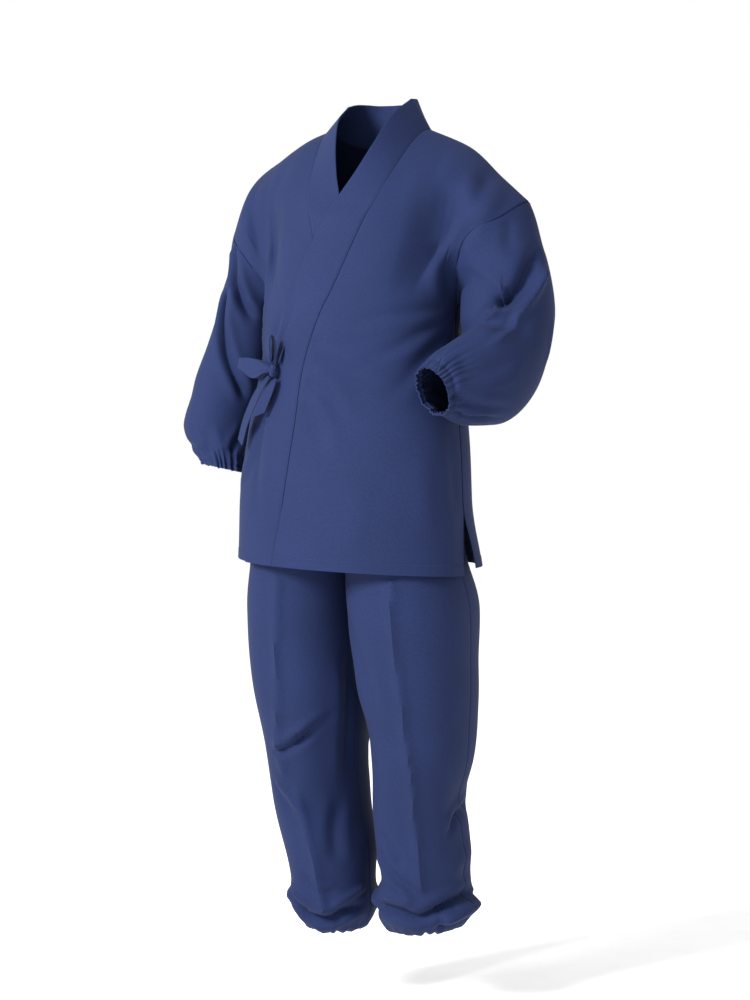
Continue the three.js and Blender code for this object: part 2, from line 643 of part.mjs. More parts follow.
function knot() {
  const rings = 8;
  const around = 12;
  const points = [];
  const faces = [];
  for (let i = 0; i <= rings; i += 1) {
    const tilt = (i * 2 * QUARTER) / rings;
    const count = i === 0 || i === rings ? 1 : around;
    for (let j = 0; j < count; j += 1) {
      const turn = (j * 4 * QUARTER) / around;
      points.push(KNOT.x + KNOT.halfX * Math.sin(tilt) * Math.cos(turn));
      points.push(KNOT.y + KNOT.halfY * Math.sin(tilt) * Math.sin(turn));
      points.push(KNOT.z + KNOT.halfZ * Math.cos(tilt));
    }
  }
  const at = (i, j) => (i === 0 ? 0 : i === rings ? 1 + (rings - 1) * around : 1 + (i - 1) * around + (j % around));
  for (let i = 0; i < rings; i += 1)
    for (let j = 0; j < around; j += 1) {
      if (i > 0) faces.push(at(i, j), at(i + 1, j), at(i, j + 1));
      if (i < rings - 1) faces.push(at(i, j + 1), at(i + 1, j), at(i + 1, j + 1));
    }
  const geometry = new THREE.BufferGeometry();
  geometry.setAttribute("position", new THREE.Float32BufferAttribute(points, 3));
  geometry.setIndex(volumeOf(points, faces) < 0 ? faces.toReversed() : faces);
  geometry.computeVertexNormals();
  return geometry;
}

addPiece("tie_knot", knot());

// A tape along a table of middles and widths. Its width runs along one direction.
const TAPE = 1.8;
const TAPES = {
  tie_tail_long: {
    across: [0, -1, 0.1],
    rows: [
      { x: -103.6, y: -165.5, z: -395.5, wide: 10 },
      { x: -122, y: -161, z: -414, wide: 20 },
      { x: -142, y: -152, z: -440, wide: 26 },
      { x: -159, y: -146, z: -471, wide: 26 },
      { x: -171, y: -141, z: -502, wide: 26 },
    ],
  },
  tie_tail_short: {
    across: [0.93, -0.2, 0.3],
    rows: [
      { x: -93.5, y: -166.5, z: -399.4, wide: 10 },
      { x: -100, y: -168.5, z: -412, wide: 20 },
      { x: -111, y: -168, z: -433, wide: 27 },
      { x: -124, y: -165, z: -457, wide: 28 },
    ],
  },
  tie_lead_front: {
    across: [0.45, -0.1, 0.9],
    rows: [
      { x: -84, y: -157.5, z: -355, wide: 20 },
      { x: -84.5, y: -163, z: -364, wide: 15 },
      { x: -85.2, y: -165.5, z: -371.6, wide: 9 },
    ],
  },
};

function tape({ across, rows }) {
  const direction = vec(...across).normalize();
  const points = rows.map((row) =>
    [-0.5, 0, 0.5].map((c) => vec(row.x, row.y, row.z).addScaledVector(direction, c * row.wide)),
  );
  return wall(withNormals(points), TAPE);
}

for (const [name, plan] of Object.entries(TAPES)) addPiece(name, tape(plan));

// The side tie comes from the side seam over the under front and rises to the knot.
const SIDE_LEAD = [
  { share: -0.975, lift: 0 },
  { share: -0.9, lift: 0 },
  { share: -0.8, lift: 0 },
  { share: -0.7, lift: 0 },
  { share: -0.58, lift: 1.5 },
  { share: -0.49, lift: 5 },
  { share: -0.41, lift: 9 },
];
const SIDE_LEAD_NUMBERS = [3.98, 4.12, 4.26];

function sideLead() {
  const onCloth = TAPE / 2 + CLOTH / 2 + SEAM + 1.4;
  const rows = SIDE_LEAD.map(({ share, lift }) =>
    SIDE_LEAD_NUMBERS.map((number) => bodyPlace(share, number, lapOffset(-1, share, number) + onCloth + lift)),
  );
  return wall(rows, TAPE);
}

addPiece("tie_lead_side", sideLead());

// A loop of the bow: its path runs from the knot to its tip and back.
const LOOPS = {
  tie_loop_side: { root: [-107, -165.5, -384], tip: [-172, -141, -379], across: [0.08, 0.1, 1], belly: 8, wide: 27 },
  tie_loop_up: { root: [-96.5, -167, -371.9], tip: [-92, -173.5, -329], across: [0.9, -0.3, 0.1], belly: 7, wide: 19 },
};

function bowLoop({ root, tip, across, belly, wide }) {
  const start = vec(...root);
  const along = vec(...tip).sub(start);
  const width = vec(...across).addScaledVector(along, -vec(...across).dot(along) / along.lengthSq()).normalize();
  const off = along.clone().cross(width).normalize();
  const around = 16;
  const rows = [-0.5, 0, 0.5].map((c) =>
    range(around).map((k) => {
      const angle = (k * 4 * QUARTER) / around;
      const out = (1 - Math.cos(angle)) / 2;
      const slack = belly * Math.sin(angle) * (0.7 + 0.3 * out);
      const fullness = 0.62 + 0.38 * Math.sin(Math.PI * clamp(out, 0, 0.75) * 0.66);
      return start
        .clone()
        .addScaledVector(along, out)
        .addScaledVector(off, slack)
        .addScaledVector(width, c * wide * fullness);
    }),
  );
  return wall(withNormals(rows, true), TAPE, true);
}

for (const [name, plan] of Object.entries(LOOPS)) addPiece(name, bowLoop(plan));

garment.updateMatrixWorld(true);
export default garment;
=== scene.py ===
"""The samue's cloth in full detail on its solid model: woven, seamed, hemmed, creased and gathered."""

import math
from collections import namedtuple

import bpy
import numpy as np
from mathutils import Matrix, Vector


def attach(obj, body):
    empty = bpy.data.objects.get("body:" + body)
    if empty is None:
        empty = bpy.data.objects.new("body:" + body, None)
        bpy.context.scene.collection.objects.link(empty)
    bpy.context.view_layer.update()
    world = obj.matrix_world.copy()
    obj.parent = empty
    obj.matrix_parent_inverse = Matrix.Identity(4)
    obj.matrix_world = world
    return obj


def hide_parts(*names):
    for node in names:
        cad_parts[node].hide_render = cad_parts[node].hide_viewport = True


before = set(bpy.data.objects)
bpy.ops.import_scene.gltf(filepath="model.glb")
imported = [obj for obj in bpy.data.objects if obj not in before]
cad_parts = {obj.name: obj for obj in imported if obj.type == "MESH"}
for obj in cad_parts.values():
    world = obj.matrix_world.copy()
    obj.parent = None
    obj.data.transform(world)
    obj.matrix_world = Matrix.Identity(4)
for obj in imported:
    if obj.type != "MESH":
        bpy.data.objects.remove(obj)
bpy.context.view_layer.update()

bl_info = {
    "name": "Samue",
    "version": (1, 0, 0),
    "blender": (4, 5, 0),
    "location": "View3D > Sidebar > Samue",
    "description": "Builds a samue jacket and trousers as cloth shells on their solid model",
    "category": "Object",
}

MM = 0.001
QUARTER, TURN = math.pi / 2, 2 * math.pi
SIDES, FACES = ("left", "right"), ("front", "back")
CLOTH_NAME = "navy_twill_cotton"

# ---------------------------------------------------------------- sizes of the worn form, in millimetres
# The form is the solid model's own, so that each shell lies on its solid.
SEAM = 0.3
LAP = 2.6
HEM_SLANT = 12.0
SLIT_PART, SIDE_GAP = 0.014, 0.0009
FLAP_FLARE = {"left": 19.0, "right": 6.0}
TRUNK_SQUARENESS = 2.25
LEG_SQUARENESS = 2.2
UNDERARM, SLIT, HEM = 3, 6, 7
CROTCH, LEG_END = 3, 11
CUFF = 7
NECK_DEPTH, NECK_ROUND = 0.6, 0.8
# Sections of the front: where the band's sides cross, where it lies flat, and where its upright part begins.
CROSSING, LIES_FLAT, TURN_UP = 4 / 3, 5 / 3, 2.2

# Cloth: how it is hemmed, sewn and stitched, and how uneven it hangs.
HEM_THICKNESS, STITCH_PULL, SEAM_DIP = 2.1, 1.6, 2.2
TAPE = 1.8
LEAD_STANDS_OFF = TAPE / 2 + 0.6 + SEAM + 1.4
THREAD_HALF, STITCH_GAP = 0.34, 1.0
SLIT_STITCH, SEAM_STITCH, CUFF_STITCH, ANKLE_STITCH = 7.0, 3.0, 13.0, 15.0
SLACK_WAVE = 190.0
JACKET_SLACK = (1.6, 4)  # its amount and its seed
PHASE = 6.28
FOLD_STEPS = 14
# Gathers: height, number of pleats, seed, and the sections between which they grow to their full height.
CUFF_GATHERS = ((2.9, 21, 5, 4.9, 6.6), (1.2, 11, 9, 3.8, 5.6))
LEG_GATHERS = ((2.6, 17, 0, 9.3, 10.5), (1.5, 9, 1, 8.6, 10.0), (1.3, 24, 2, 0.6, 0))
CASING_THICKER = 0.8

# Rows and columns of the panels' grids.
BODY_ROWS, FRONT_COLUMNS, BACK_SIDE_COLUMNS, BACK_NECK_COLUMNS = 210, 104, 52, 72
SLEEVE_ROWS, SLEEVE_COLUMNS = 142, 200
BAND_ROWS, COLLAR_ROWS, NAPE_ROWS = 150, 60, 50
LEG_ROWS, LEG_COLUMNS = 234, 84
WAISTBAND_ROWS, WAISTBAND_COLUMNS = 16, 240
TAPE_COLUMNS, TIE_ROWS, LEAD_ROWS, LOOP_ROWS = 18, 60, 90, 96
KNOT_ROWS, KNOT_COLUMNS = 44, 72

# Sections of the yoke from the right arm over the middle to the left arm: shares of the width, then points.
YOKE_SHARES = (-1, -0.8, -0.56, -0.35, 0, 0.35, 0.56, 0.8, 1)
YOKE = (
    (  # the lower one behind
        (-212, 54, -222), (-182, 62, -204), (-148, 66, -190), (-102, 92, -176), (0, 98, -172),
        (102, 92, -176), (148, 66, -186), (176, 64, -190), (206, 62, -204),
    ),
    (  # the upper one behind
        (-246, 42, -180), (-210, 52, -134), (-160, 58, -100), (-104, 72, -84), (0, 84, -72),
        (104, 72, -84), (160, 58, -98), (206, 54, -126), (246, 48, -152),
    ),
    (  # the ridge of the shoulders
        (-258, 8, -160), (-222, 10, -82), (-167, 12, -40), (-105, 12, -8), (0, 14, 16),
        (105, 12, -8), (165, 12, -33), (218, 11, -82), (264, 10, -121),
    ),
    (  # the upper one in front
        (-240, -40, -176), (-214, -56, -132), (-165, -62, -104), (-106, -86, -90), (0, -114, -90),
        (106, -86, -90), (164, -62, -100), (208, -60, -124), (243, -45, -146),
    ),
    (  # the lower one in front
        (-206, -58, -208), (-180, -68, -196), (-148, -68, -190), (-104, -122, -180), (0, -146, -180),
        (104, -122, -180), (148, -66, -186), (170, -72, -182), (190, -66, -182),
    ),
)

# Rings round the trunk from the underarm down: height, middle x and y, half width, depth in front and behind.
TRUNK = (
    (-285, -4, -28, 163, 131, 124),
    (-375, -8, -34, 168, 130, 120),
    (-480, -14, -36, 184, 132, 134),
    (-606, -18, -38, 195, 136, 142),
    (-699, -18, -38, 197, 140, 142),
)

# The seam between a front and the band, and the band's width, as shares of the width, one for each section.
FRONT_SEAM = (0.3, 0.22, 0.12, -0.014, -0.1, -0.13, -0.178, -0.232)
BAND_SHARE = (0.2, 0.197, 0.232, 0.24, 0.232, 0.228, 0.234, 0.23)

# The collar's free edge: section number in front, left x and z, right x and z, y.
COLLAR_FRONT = (
    (4 / 3, -2, -112, -2, -112, -122),
    (1, 20, -72, -14, -74, -107),
    (2 / 3, 40, -24, -29, -30, -81),
    (1 / 3, 54, 20, -42, 12, -46),
    (0, 62, 47, -50, 37, 4),
)
# And behind, by the angle round the neck in quarter turns.
COLLAR_BACK = (
    (0.25, 60, 48, -48, 42, 30),
    (0.5, 47, 46, -39, 43, 50),
    (0.75, 26, 43, -22, 42, 64),
    (1.0, 0, 42, 0, 42, 68),
)

# Rings of a sleeve: middle x, y and z, half width outwards and forwards, lean of the outer side up the arm.
SLEEVES = {
    "left": (
        (237, 2, -236, 71, 74, 0),
        (244, -2, -303, 74, 78, 0),
        (246, -30, -364, 70, 78, 0),
        (234, -82, -394, 66, 82, 0),
        (218, -127, -400, 58, 68, 0),
        (203, -163, -404, 44, 50, 0),
        (193, -184, -414, 36, 40, 0),
    ),
    "right": (
        (-226, 4, -268, 44, 72, 0),
        (-245, 6, -345, 44, 70, 0),
        (-270, -6, -430, 56, 68, 4),
        (-276, -24, -488, 54, 62, 8),
        (-268, -38, -520, 44, 48, 13),
        (-260, -46, -538, 34, 36, 16),
        (-256, -50, -550, 31, 32, 17),
    ),
}

# Rings of the trousers above the crotch: height, middle x and y, half width, depth in front and behind.
PELVIS = (
    (-392, -8, -34, 146, 108, 102),
    (-490, -14, -36, 168, 118, 120),
    (-600, -18, -38, 184, 122, 126),
)
# Rings of each leg: height, inner x, outer x, middle y, half depth.
LEGS = {
    "left": (
        (-690, -16.9, 166, -36, 108),
        (-775, -15, 186, -30, 114),
        (-900, -3, 182, -22, 104),
        (-1000, 6, 174, -16, 96),
        (-1100, 4, 160, -8, 88),
        (-1190, 8, 160, 0, 84),
        (-1252, 14, 168, 2, 82),
        (-1284, 26, 152, 2, 68),
        (-1292, 46, 134, 2, 48),
    ),
    "right": (
        (-690, -19.1, -204, -38, 111.4),
        (-775, -21, -214, -34, 114),
        (-900, -24, -210, -28, 106),
        (-1000, -34, -190, -22, 96),
        (-1100, -32, -179, -12, 88),
        (-1190, -14, -160, -6, 82),
        (-1262, -8, -149, -4, 76),
        (-1295, -18, -126, -4, 62),
        (-1304, -32, -114, -4, 46),
    ),
}
WAISTBAND_HEIGHT = 34.0

# The stage in metres, with the camera's turn in degrees. Lamps: name, way sideways, near and up, size, power.
CAMERA_TURN, CAMERA_DISTANCE, CAMERA_HEIGHT, CAMERA_LENS, AIM_HEIGHT = 27, 4.6, -0.3, 102.2, -0.598
FLOOR_REACH = 12.0
LAMPS = (("key_softbox", -2.8, 2.4, 1.9, 1.2, 345), ("fill_softbox", 2.8, 3.0, 0.6, 2.2, 15))

# The ties: middles and widths down each tape, and the direction of its width.
TAPES = {
    "tie_tail_long": (
        (0.66, -0.64, -0.37),
        (
            (-103.6, -165.5, -395.5, 10), (-122, -161, -414, 20), (-142, -152, -440, 26),
            (-159, -146, -471, 26), (-171, -141, -502, 26),
        ),
    ),
    "tie_tail_short": (
        (0.93, -0.2, 0.3),
        (
            (-93.5, -166.5, -399.4, 10), (-100, -168.5, -412, 20), (-111, -168, -433, 27),
            (-124, -165, -457, 28),
        ),
    ),
    "tie_lead_front": (
        (0.45, -0.1, 0.9),
        ((-84, -157.5, -355, 20), (-84.5, -163, -364, 15), (-85.2, -165.5, -371.6, 9)),
    ),
}
KNOT = ((-97, -165.3, -385.5), (8.5, 8, 11))
# Share and lift of the side tie's middle as it comes round from the side seam to the knot.
SIDE_LEAD = ((-0.975, 0), (-0.9, 0), (-0.8, 0), (-0.7, 0), (-0.58, 1.5), (-0.49, 5), (-0.41, 9))
SIDE_LEAD_NUMBERS = (3.98, 4.26)
# The stitched box that holds the front tie's lead on the band.
LEAD_BOX = ((-86, -347), (-74, -345), (-72, -366), (-85, -368), (-86, -347))
# The bow's loops: root, tip, direction of the width, belly and width.
LOOPS = {
    "tie_loop_side": ((-101, -169.5, -383), (-172, -141, -375), (0.02, 0.1, 1), 7, 27),
    "tie_loop_up": ((-97.5, -168, -374), (-97, -172, -330), (0.7, -0.65, 0.15), 6, 18),
}


# ---------------------------------------------------------------- curves and surfaces
def smooth(start, end, value):
    """Eases from 0 at start to 1 at end."""
    x = np.clip((value - start) / (end - start), 0, 1)
    return x * x * (3 - 2 * x)


def plateau(start, full, sink, end, value):
    """0 up to start, 1 between full and sink, and 0 again from end."""
    return smooth(start, full, value) * (1 - smooth(sink, end, value))


def bell(value, width):
    return np.exp(-((value / width) ** 2))


def bell_round(turn, middle, width):
    """A bell by the angle round a tube."""
    return np.exp(-(1 - np.cos(turn - middle)) / width)


def unit(vectors):
    return vectors / np.maximum(np.linalg.norm(vectors, axis=-1, keepdims=True), 1e-9)


def run_of(line):
    """Distance of each point of a line from its first point, along the line."""
    return np.concatenate([[0], np.cumsum(np.linalg.norm(np.diff(line, axis=0), axis=1))])


def sign_of(side):
    return 1 if side == "left" else -1


def around(count):
    """Angles at equal steps once round a tube."""
    return np.arange(count) * TURN / count


def signed_power(value, power):
    return np.sign(value) * np.abs(value) ** power


def through(keys, rows, at, first=None, last=None):
    """A smooth curve through one row of numbers for each key, that never swings past the rows it joins.

    `rows` has one entry for each key, and `at` one number for each place in an entry's first direction.
    """
    keys = np.asarray(keys, float)
    at = np.atleast_1d(np.asarray(at, float))
    rows = np.asarray(rows, float)
    shape = at.shape + rows.shape[2:]
    rows = np.broadcast_to(rows, (len(keys), *shape))
    spans = np.diff(keys).reshape(-1, *([1] * len(shape)))
    slopes = np.diff(rows, axis=0) / spans
    before, after = slopes[:-1], slopes[1:]
    most = 3 * np.minimum(np.abs(before), np.abs(after))
    inner = np.where(before * after <= 0, 0, np.clip((before + after) / 2, -most, most))
    start = slopes[:1] if first is None else np.broadcast_to(first, shape)[None]
    end = slopes[-1:] if last is None else np.broadcast_to(last, shape)[None]
    tangents = np.concatenate([start, inner, end])
    at = np.broadcast_to(at.reshape(at.shape + (1,) * (len(shape) - 1)), shape)
    i = np.clip(np.searchsorted(keys, at, side="right") - 1, 0, len(keys) - 2)
    step = keys[i + 1] - keys[i]
    x = (at - keys[i]) / step
    inside = np.clip(x, 0, 1)
    rest = 1 - inside

    def take(table, index):
        return np.take_along_axis(table, index[None], axis=0)[0]

    leave, arrive = take(tangents, i), take(tangents, i + 1)
    value = take(rows, i) * (1 + 2 * inside) * rest**2 + take(rows, i + 1) * inside**2 * (3 - 2 * inside)
    value = value + leave * step * inside * rest**2 - arrive * step * inside**2 * rest
    return value + np.where(x < 0, leave * x * step, 0) + np.where(x > 1, arrive * (x - 1) * step, 0)


def column(values, at):
    """One number from a short table with one number for each section."""
    return through(range(len(values)), np.asarray(values, float)[:, None], np.ravel(at))


def flat_pair(a, b):
    return [np.ravel(v).astype(float) for v in np.broadcast_arrays(a, b)]


def trunk_ring(ring, share, back):
    z, mid_x, mid_y, half, front, behind = ring
    across = signed_power(np.sin(share * QUARTER), 2 / TRUNK_SQUARENESS)
    ahead = signed_power(np.cos(share * QUARTER), 2 / TRUNK_SQUARENESS) * np.where(back, -1, 1)
    depth = np.where(ahead > 0, front, behind)
    return np.stack([mid_x + half * across, mid_y - depth * ahead, np.full_like(across, z)], -1)


def body_form(share, number):
    """The jacket's body. Sections run from the back hem, -7, over the shoulders, 0, to the front hem, 7."""
    share, number = flat_pair(share, number)
    back = number < 0
    rings = np.stack([trunk_ring(ring, share, back) for ring in TRUNK])
    level = np.abs(number)
    low = through(range(UNDERARM, HEM + 1), rings, level)
    ahead, behind = ([trunk_ring(ring, share, face) for ring in TRUNK[:2]] for face in (False, True))
    yoke = [through(YOKE_SHARES, np.array(row, float)[:, None, :], share) for row in YOKE]
    ends = behind[0] - behind[1], ahead[1] - ahead[0]
    high = through(range(-UNDERARM, UNDERARM + 1), np.stack([behind[0], *yoke, ahead[0]]), number, *ends)
    return np.where((level >= UNDERARM)[:, None], low, high)


def sleeve_form(side):
    """One sleeve, by the angle round it and the ring's number, from 0 at the armhole to 7 at the cuff."""
    sign = sign_of(side)
    rings = np.array(SLEEVES[side], float)
    top, under = body_form(sign, 0)[0], body_form(sign, UNDERARM)[0]
    middles = np.vstack([(top + under) / 2, rings[:, :3]])
    last = len(middles) - 1
    out = top - under
    frames = []
    for i in range(last + 1):
        along = unit(middles[min(i + 1, last)] - middles[max(i - 1, 0)])
        out = unit(out - along * out.dot(along))
        frames.append((along, out, np.cross(along, out) * sign))

    def form(angle, number):
        angle, number = flat_pair(angle, number)
        turn = np.mod(angle, TURN)
        armhole = np.where(turn <= math.pi, turn, turn - TURN) * UNDERARM / math.pi
        sections = [body_form(np.full_like(angle, sign), armhole)]
        for ring, (along, out, fore) in zip(rings, frames[1:]):
            point = ring[:3] + np.cos(angle)[:, None] * (out * ring[3] - along * ring[5])
            sections.append(point + np.sin(angle)[:, None] * fore * ring[4])
        return through(range(CUFF + 1), np.stack(sections), number)

    return form


def leg_form(side, face):
    """One trouser panel: share 0 is the middle seam or the inseam, and 1 the side seam."""
    turn = -1 if face == "front" else 1

    def on_leg(ring, share):
        z, inner, outer, mid_y, deep = ring
        across = signed_power(np.cos(share * math.pi), 2 / LEG_SQUARENESS)
        ahead = signed_power(np.sin(share * math.pi), 2 / LEG_SQUARENESS)
        x = (inner + outer) / 2 + (inner - outer) / 2 * across
        return np.stack([x, mid_y + turn * deep * ahead, np.full_like(across, z)], -1)

    def form(share, number):
        share, number = flat_pair(share, number)
        legs = [on_leg(ring, share) for ring in LEGS[side]]
        trunk = [trunk_ring(ring, sign_of(side) * share, face == "back") for ring in PELVIS] + [legs[0]]
        low = through(range(CROTCH, LEG_END + 1), np.stack(legs), number)
        ends = trunk[1] - trunk[0], legs[1] - legs[0]
        high = through(range(CROTCH + 1), np.stack(trunk), number, *ends)
        return np.where((number >= CROTCH)[:, None], low, high)

    return form


def normals_of(form, a, b, sign, step=0.02):
    """Unit normals of a form at places on it."""
    a, b = flat_pair(a, b)
    return sign * unit(np.cross(form(a + step, b) - form(a - step, b), form(a, b + step) - form(a, b - step)))


# ---------------------------------------------------------------- folds
# path: places on a form, each its share or angle and its number. wide: half width. high: height along its
# line, negative for a trough. left, right: ridges beside it, seen from outside and down its path. keen: 0 for
# a rounded section, 1 for a pressed edge. enter, leave: the shares of its length where it fades in and out.
Fold = namedtuple("Fold", "path wide high left right keen enter leave")


def folds(table):
    """Folds from a table in text: Fold's columns from wide to leave, a colon, and the path's places."""
    lines = [line for line in table.splitlines() if not line.strip().startswith("#")]
    found = []
    for row in " ".join(lines).split(";")[:-1]:
        columns, path = row.split(":")
        places = np.array([place.split() for place in path.split(",")], float)
        found.append(Fold(places, *map(float, columns.split())))
    return found


def laid(rows, form, sign):
    """The lines of these folds in space, each with the form's outward normals."""
    lines = []
    for fold in rows:
        count = len(fold.path)
        steps = np.linspace(0, count - 1, FOLD_STEPS * (count - 1) + 1)
        a, b = through(range(count), fold.path[:, None, :], steps).T
        lines.append((fold, form(a, b), normals_of(form, a, b, sign)))
    return lines


def relief(points, normals, lines):
    """How far the folds lift or sink each point."""
    height = np.zeros(len(points))
    for fold, line, outward in lines:
        reach = 4 * fold.wide + 4
        near = np.nonzero(((points > line.min(0) - reach) & (points < line.max(0) + reach)).all(1))[0]
        if not len(near):
            continue
        offsets = points[near][:, None, :] - line[None, :, :]
        closest = np.einsum("ijk,ijk->ij", offsets, offsets).argmin(1)
        rest = offsets[np.arange(len(near)), closest]
        tangent = unit(np.gradient(line, axis=0))[closest]
        ahead = np.einsum("ij,ij->i", rest, tangent)
        side = np.einsum("ij,ij->i", np.cross(outward[closest], tangent), rest)
        past = np.where((closest == 0) | (closest == len(line) - 1), np.abs(ahead), 0)
        away = np.hypot(side, past)
        share = closest / (len(line) - 1)
        fade = plateau(0, max(fold.enter, 0.01), 1 - max(fold.leave, 0.01), 1, share)
        # A fold marks only the cloth that faces the same way, and not the far side of a thin gap.
        fade = fade * smooth(0.0, 0.5, (normals[near] * outward[closest]).sum(1))
        tall = (1 - fold.keen) * bell(away, fold.wide) + fold.keen * np.exp(-away / (0.6 * fold.wide))
        tall = tall * fold.high
        for sign, bank in ((1, fold.left), (-1, fold.right)):
            beside = (side * sign - 1.8 * fold.wide) / fold.wide
            tall = tall + bank * np.exp(-(beside**2) - (past / fold.wide) ** 2)
        height[near] += fade * tall
    return height


def slack(points, amount, seed):
    """Gentle unevenness of cloth that hangs freely, in waves up to SLACK_WAVE long."""
    source = np.random.default_rng(seed)
    total = np.zeros(len(points))
    for _ in range(9):
        wave = SLACK_WAVE * source.uniform(0.4, 1.0)
        direction = unit(source.normal(size=3) * (1, 1, 0.55))
        total += np.sin(points @ direction * TURN / wave + source.uniform(0, PHASE)) * wave / SLACK_WAVE
    return total * amount / 3


def gathers(angle, count, seed):
    """Uneven small pleats round an elastic edge, from -1 to 1, the same after a whole turn."""
    source = np.random.default_rng(seed)
    shift = 0
    for k in (1, 2, 3, 5):
        shift = shift + source.uniform(0.05, 0.16) * np.sin(k * angle + source.uniform(0, PHASE))
    waves = np.cos(count * (angle + shift)) + 0.45 * np.cos((count // 2) * angle + source.uniform(0, PHASE))
    waves = waves + 0.3 * np.cos((2 * count - 3) * angle + source.uniform(0, PHASE))
    return waves / 1.75


def gathered(rows, seed, angle, level):
    """The height of all the gathers of a tube."""
    height = 0
    for tall, count, number, start, full in rows:
        height = height + tall * gathers(angle, count, seed + number) * smooth(start, full, level)
    return height


# ---------------------------------------------------------------- meshes
def turned(grid, like, tube=False):
    """Unit normals of a grid of points, on the side that `like` faces."""
    along = np.roll(grid, -1, axis=1) - np.roll(grid, 1, axis=1) if tube else np.gradient(grid, axis=1)
    normal = unit(np.cross(along, np.gradient(grid, axis=0)))
    return normal * np.sign((normal * like).sum(2, keepdims=True) + 1e-12)


def as_grid(points, normals, shape, tube=False):
    """A list of points with rough normals as a grid with its own normals."""
    grid = points.reshape(*shape, 3)
    return grid, turned(grid, normals.reshape(grid.shape), tube)


def flat_cut(grid, tube=False):
    """Distances across and down the cloth from the grid's first corner, one column more for a tube."""
    ring = np.concatenate([grid, grid[:, :1]], axis=1) if tube else grid
    across = np.linalg.norm(np.diff(ring, axis=1), axis=2).mean(0)
    down = np.linalg.norm(np.diff(ring, axis=0), axis=2).mean(1)
    u, v = (np.concatenate([[0], np.cumsum(steps)]) for steps in (across, down))
    return np.stack(np.broadcast_arrays(u[None, :], v[:, None]), -1)


def add_mesh(name, points, faces, flat, maps, material, sharp=50.0):
    """A piece from points in millimetres, four-cornered faces and their places on the flat cloth."""
    mesh = bpy.data.meshes.new(name)
    mesh.vertices.add(len(points))
    mesh.vertices.foreach_set("co", (points * MM).ravel())
    mesh.loops.add(faces.size)
    mesh.loops.foreach_set("vertex_index", faces.ravel())
    mesh.polygons.add(len(faces))
    mesh.polygons.foreach_set("loop_start", np.arange(0, faces.size, 4))
    mesh.polygons.foreach_set("use_smooth", np.ones(len(faces), bool))
    mesh.update(calc_edges=True)
    layer = mesh.uv_layers.new(name="cut")
    layer.data.foreach_set("uv", (flat[maps.ravel()] * MM).ravel())
    mesh.set_sharp_from_angle(angle=math.radians(sharp))
    mesh.materials.append(material)
    piece = bpy.data.objects.new(name, mesh)
    bpy.context.scene.collection.objects.link(piece)
    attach(piece, "root")
    return piece


def add_shell(name, grid, normals, thickness, material, tube=False):
    """A closed shell of cloth on a grid of points: half its thickness lies on each side."""
    rows, columns = grid.shape[:2]
    half = np.broadcast_to(np.asarray(thickness, float), (rows, columns))[..., None] / 2
    points = np.concatenate([(grid + normals * half).reshape(-1, 3), (grid - normals * half).reshape(-1, 3)])
    count = rows * columns
    ids = np.arange(count).reshape(rows, columns)
    if tube:
        ids = np.concatenate([ids, ids[:, :1]], axis=1)
    marks = np.arange(ids.size).reshape(ids.shape)

    def quads(table):
        return np.stack([table[:-1, :-1], table[1:, :-1], table[1:, 1:], table[:-1, 1:]], -1).reshape(-1, 4)

    def rim(line, shift):
        return np.stack([line[:-1], line[:-1] + shift, line[1:] + shift, line[1:]], -1)

    edges = [(ids[0], marks[0]), (ids[-1][::-1], marks[-1][::-1])]
    if not tube:
        edges += [(ids[:, 0][::-1], marks[:, 0][::-1]), (ids[:, -1], marks[:, -1])]
    faces = [quads(ids), quads(ids)[:, ::-1] + count] + [rim(line, count) for line, _ in edges]
    maps = [quads(marks), quads(marks)[:, ::-1]] + [rim(line, 0) for _, line in edges]
    faces, maps = np.concatenate(faces), np.concatenate(maps)
    corners = points[faces[: (rows - 1) * (ids.shape[1] - 1)]]
    facing = np.cross(corners[:, 2] - corners[:, 0], corners[:, 3] - corners[:, 1])
    if (facing * normals.reshape(-1, 3)[faces[: len(corners), 0]]).sum() < 0:
        faces, maps = faces[:, ::-1], maps[:, ::-1]
    return add_mesh(name, points, faces, flat_cut(grid, tube).reshape(-1, 2), maps, material)


def add_panel(name, grid, normals, thick, material, tube=False, numbers=None):
    """A shell in place of the solid of its name. Its outer face is kept for the stitching."""
    piece = add_shell(f"{name}_cloth", grid, normals, thick, material, tube)
    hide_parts(name)
    half = np.broadcast_to(thick, grid.shape[:2])[..., None] / 2
    GRIDS[name] = grid + normals * half, normals, numbers
    return piece


def eased(count, ease=0.72):
    """Steps from 0 to 1 that are closer together at both ends."""
    t = np.linspace(0, 1, count)
    return t - ease * np.sin(TURN * t) / TURN


def even_steps(form, share, start, end, count, ease=0.72):
    """Numbers from start to end at equal distances down a form, closer together at both ends."""
    fine = np.linspace(start, end, 400)
    length = run_of(form(np.full(400, share), fine))
    return np.interp(eased(count, ease) * length[-1], length, fine)


def edge_distance(grid, first, last):
    """Distance of each place from the edge columns that are asked for, along its row."""
    steps = np.linalg.norm(np.diff(grid, axis=1), axis=2)
    run = np.concatenate([np.zeros((len(grid), 1)), np.cumsum(steps, axis=1)], axis=1)
    if first and last:
        return np.minimum(run, run[:, -1:] - run)
    return run if first else run[:, -1:] - run


# ---------------------------------------------------------------- materials
def hex_colour(text):
    """An sRGB hex colour as linear red, green, blue and alpha."""
    values = [int(text[i : i + 2], 16) / 255 for i in (1, 3, 5)]
    return [v / 12.92 if v <= 0.04045 else ((v + 0.055) / 1.055) ** 2.4 for v in values] + [1.0]


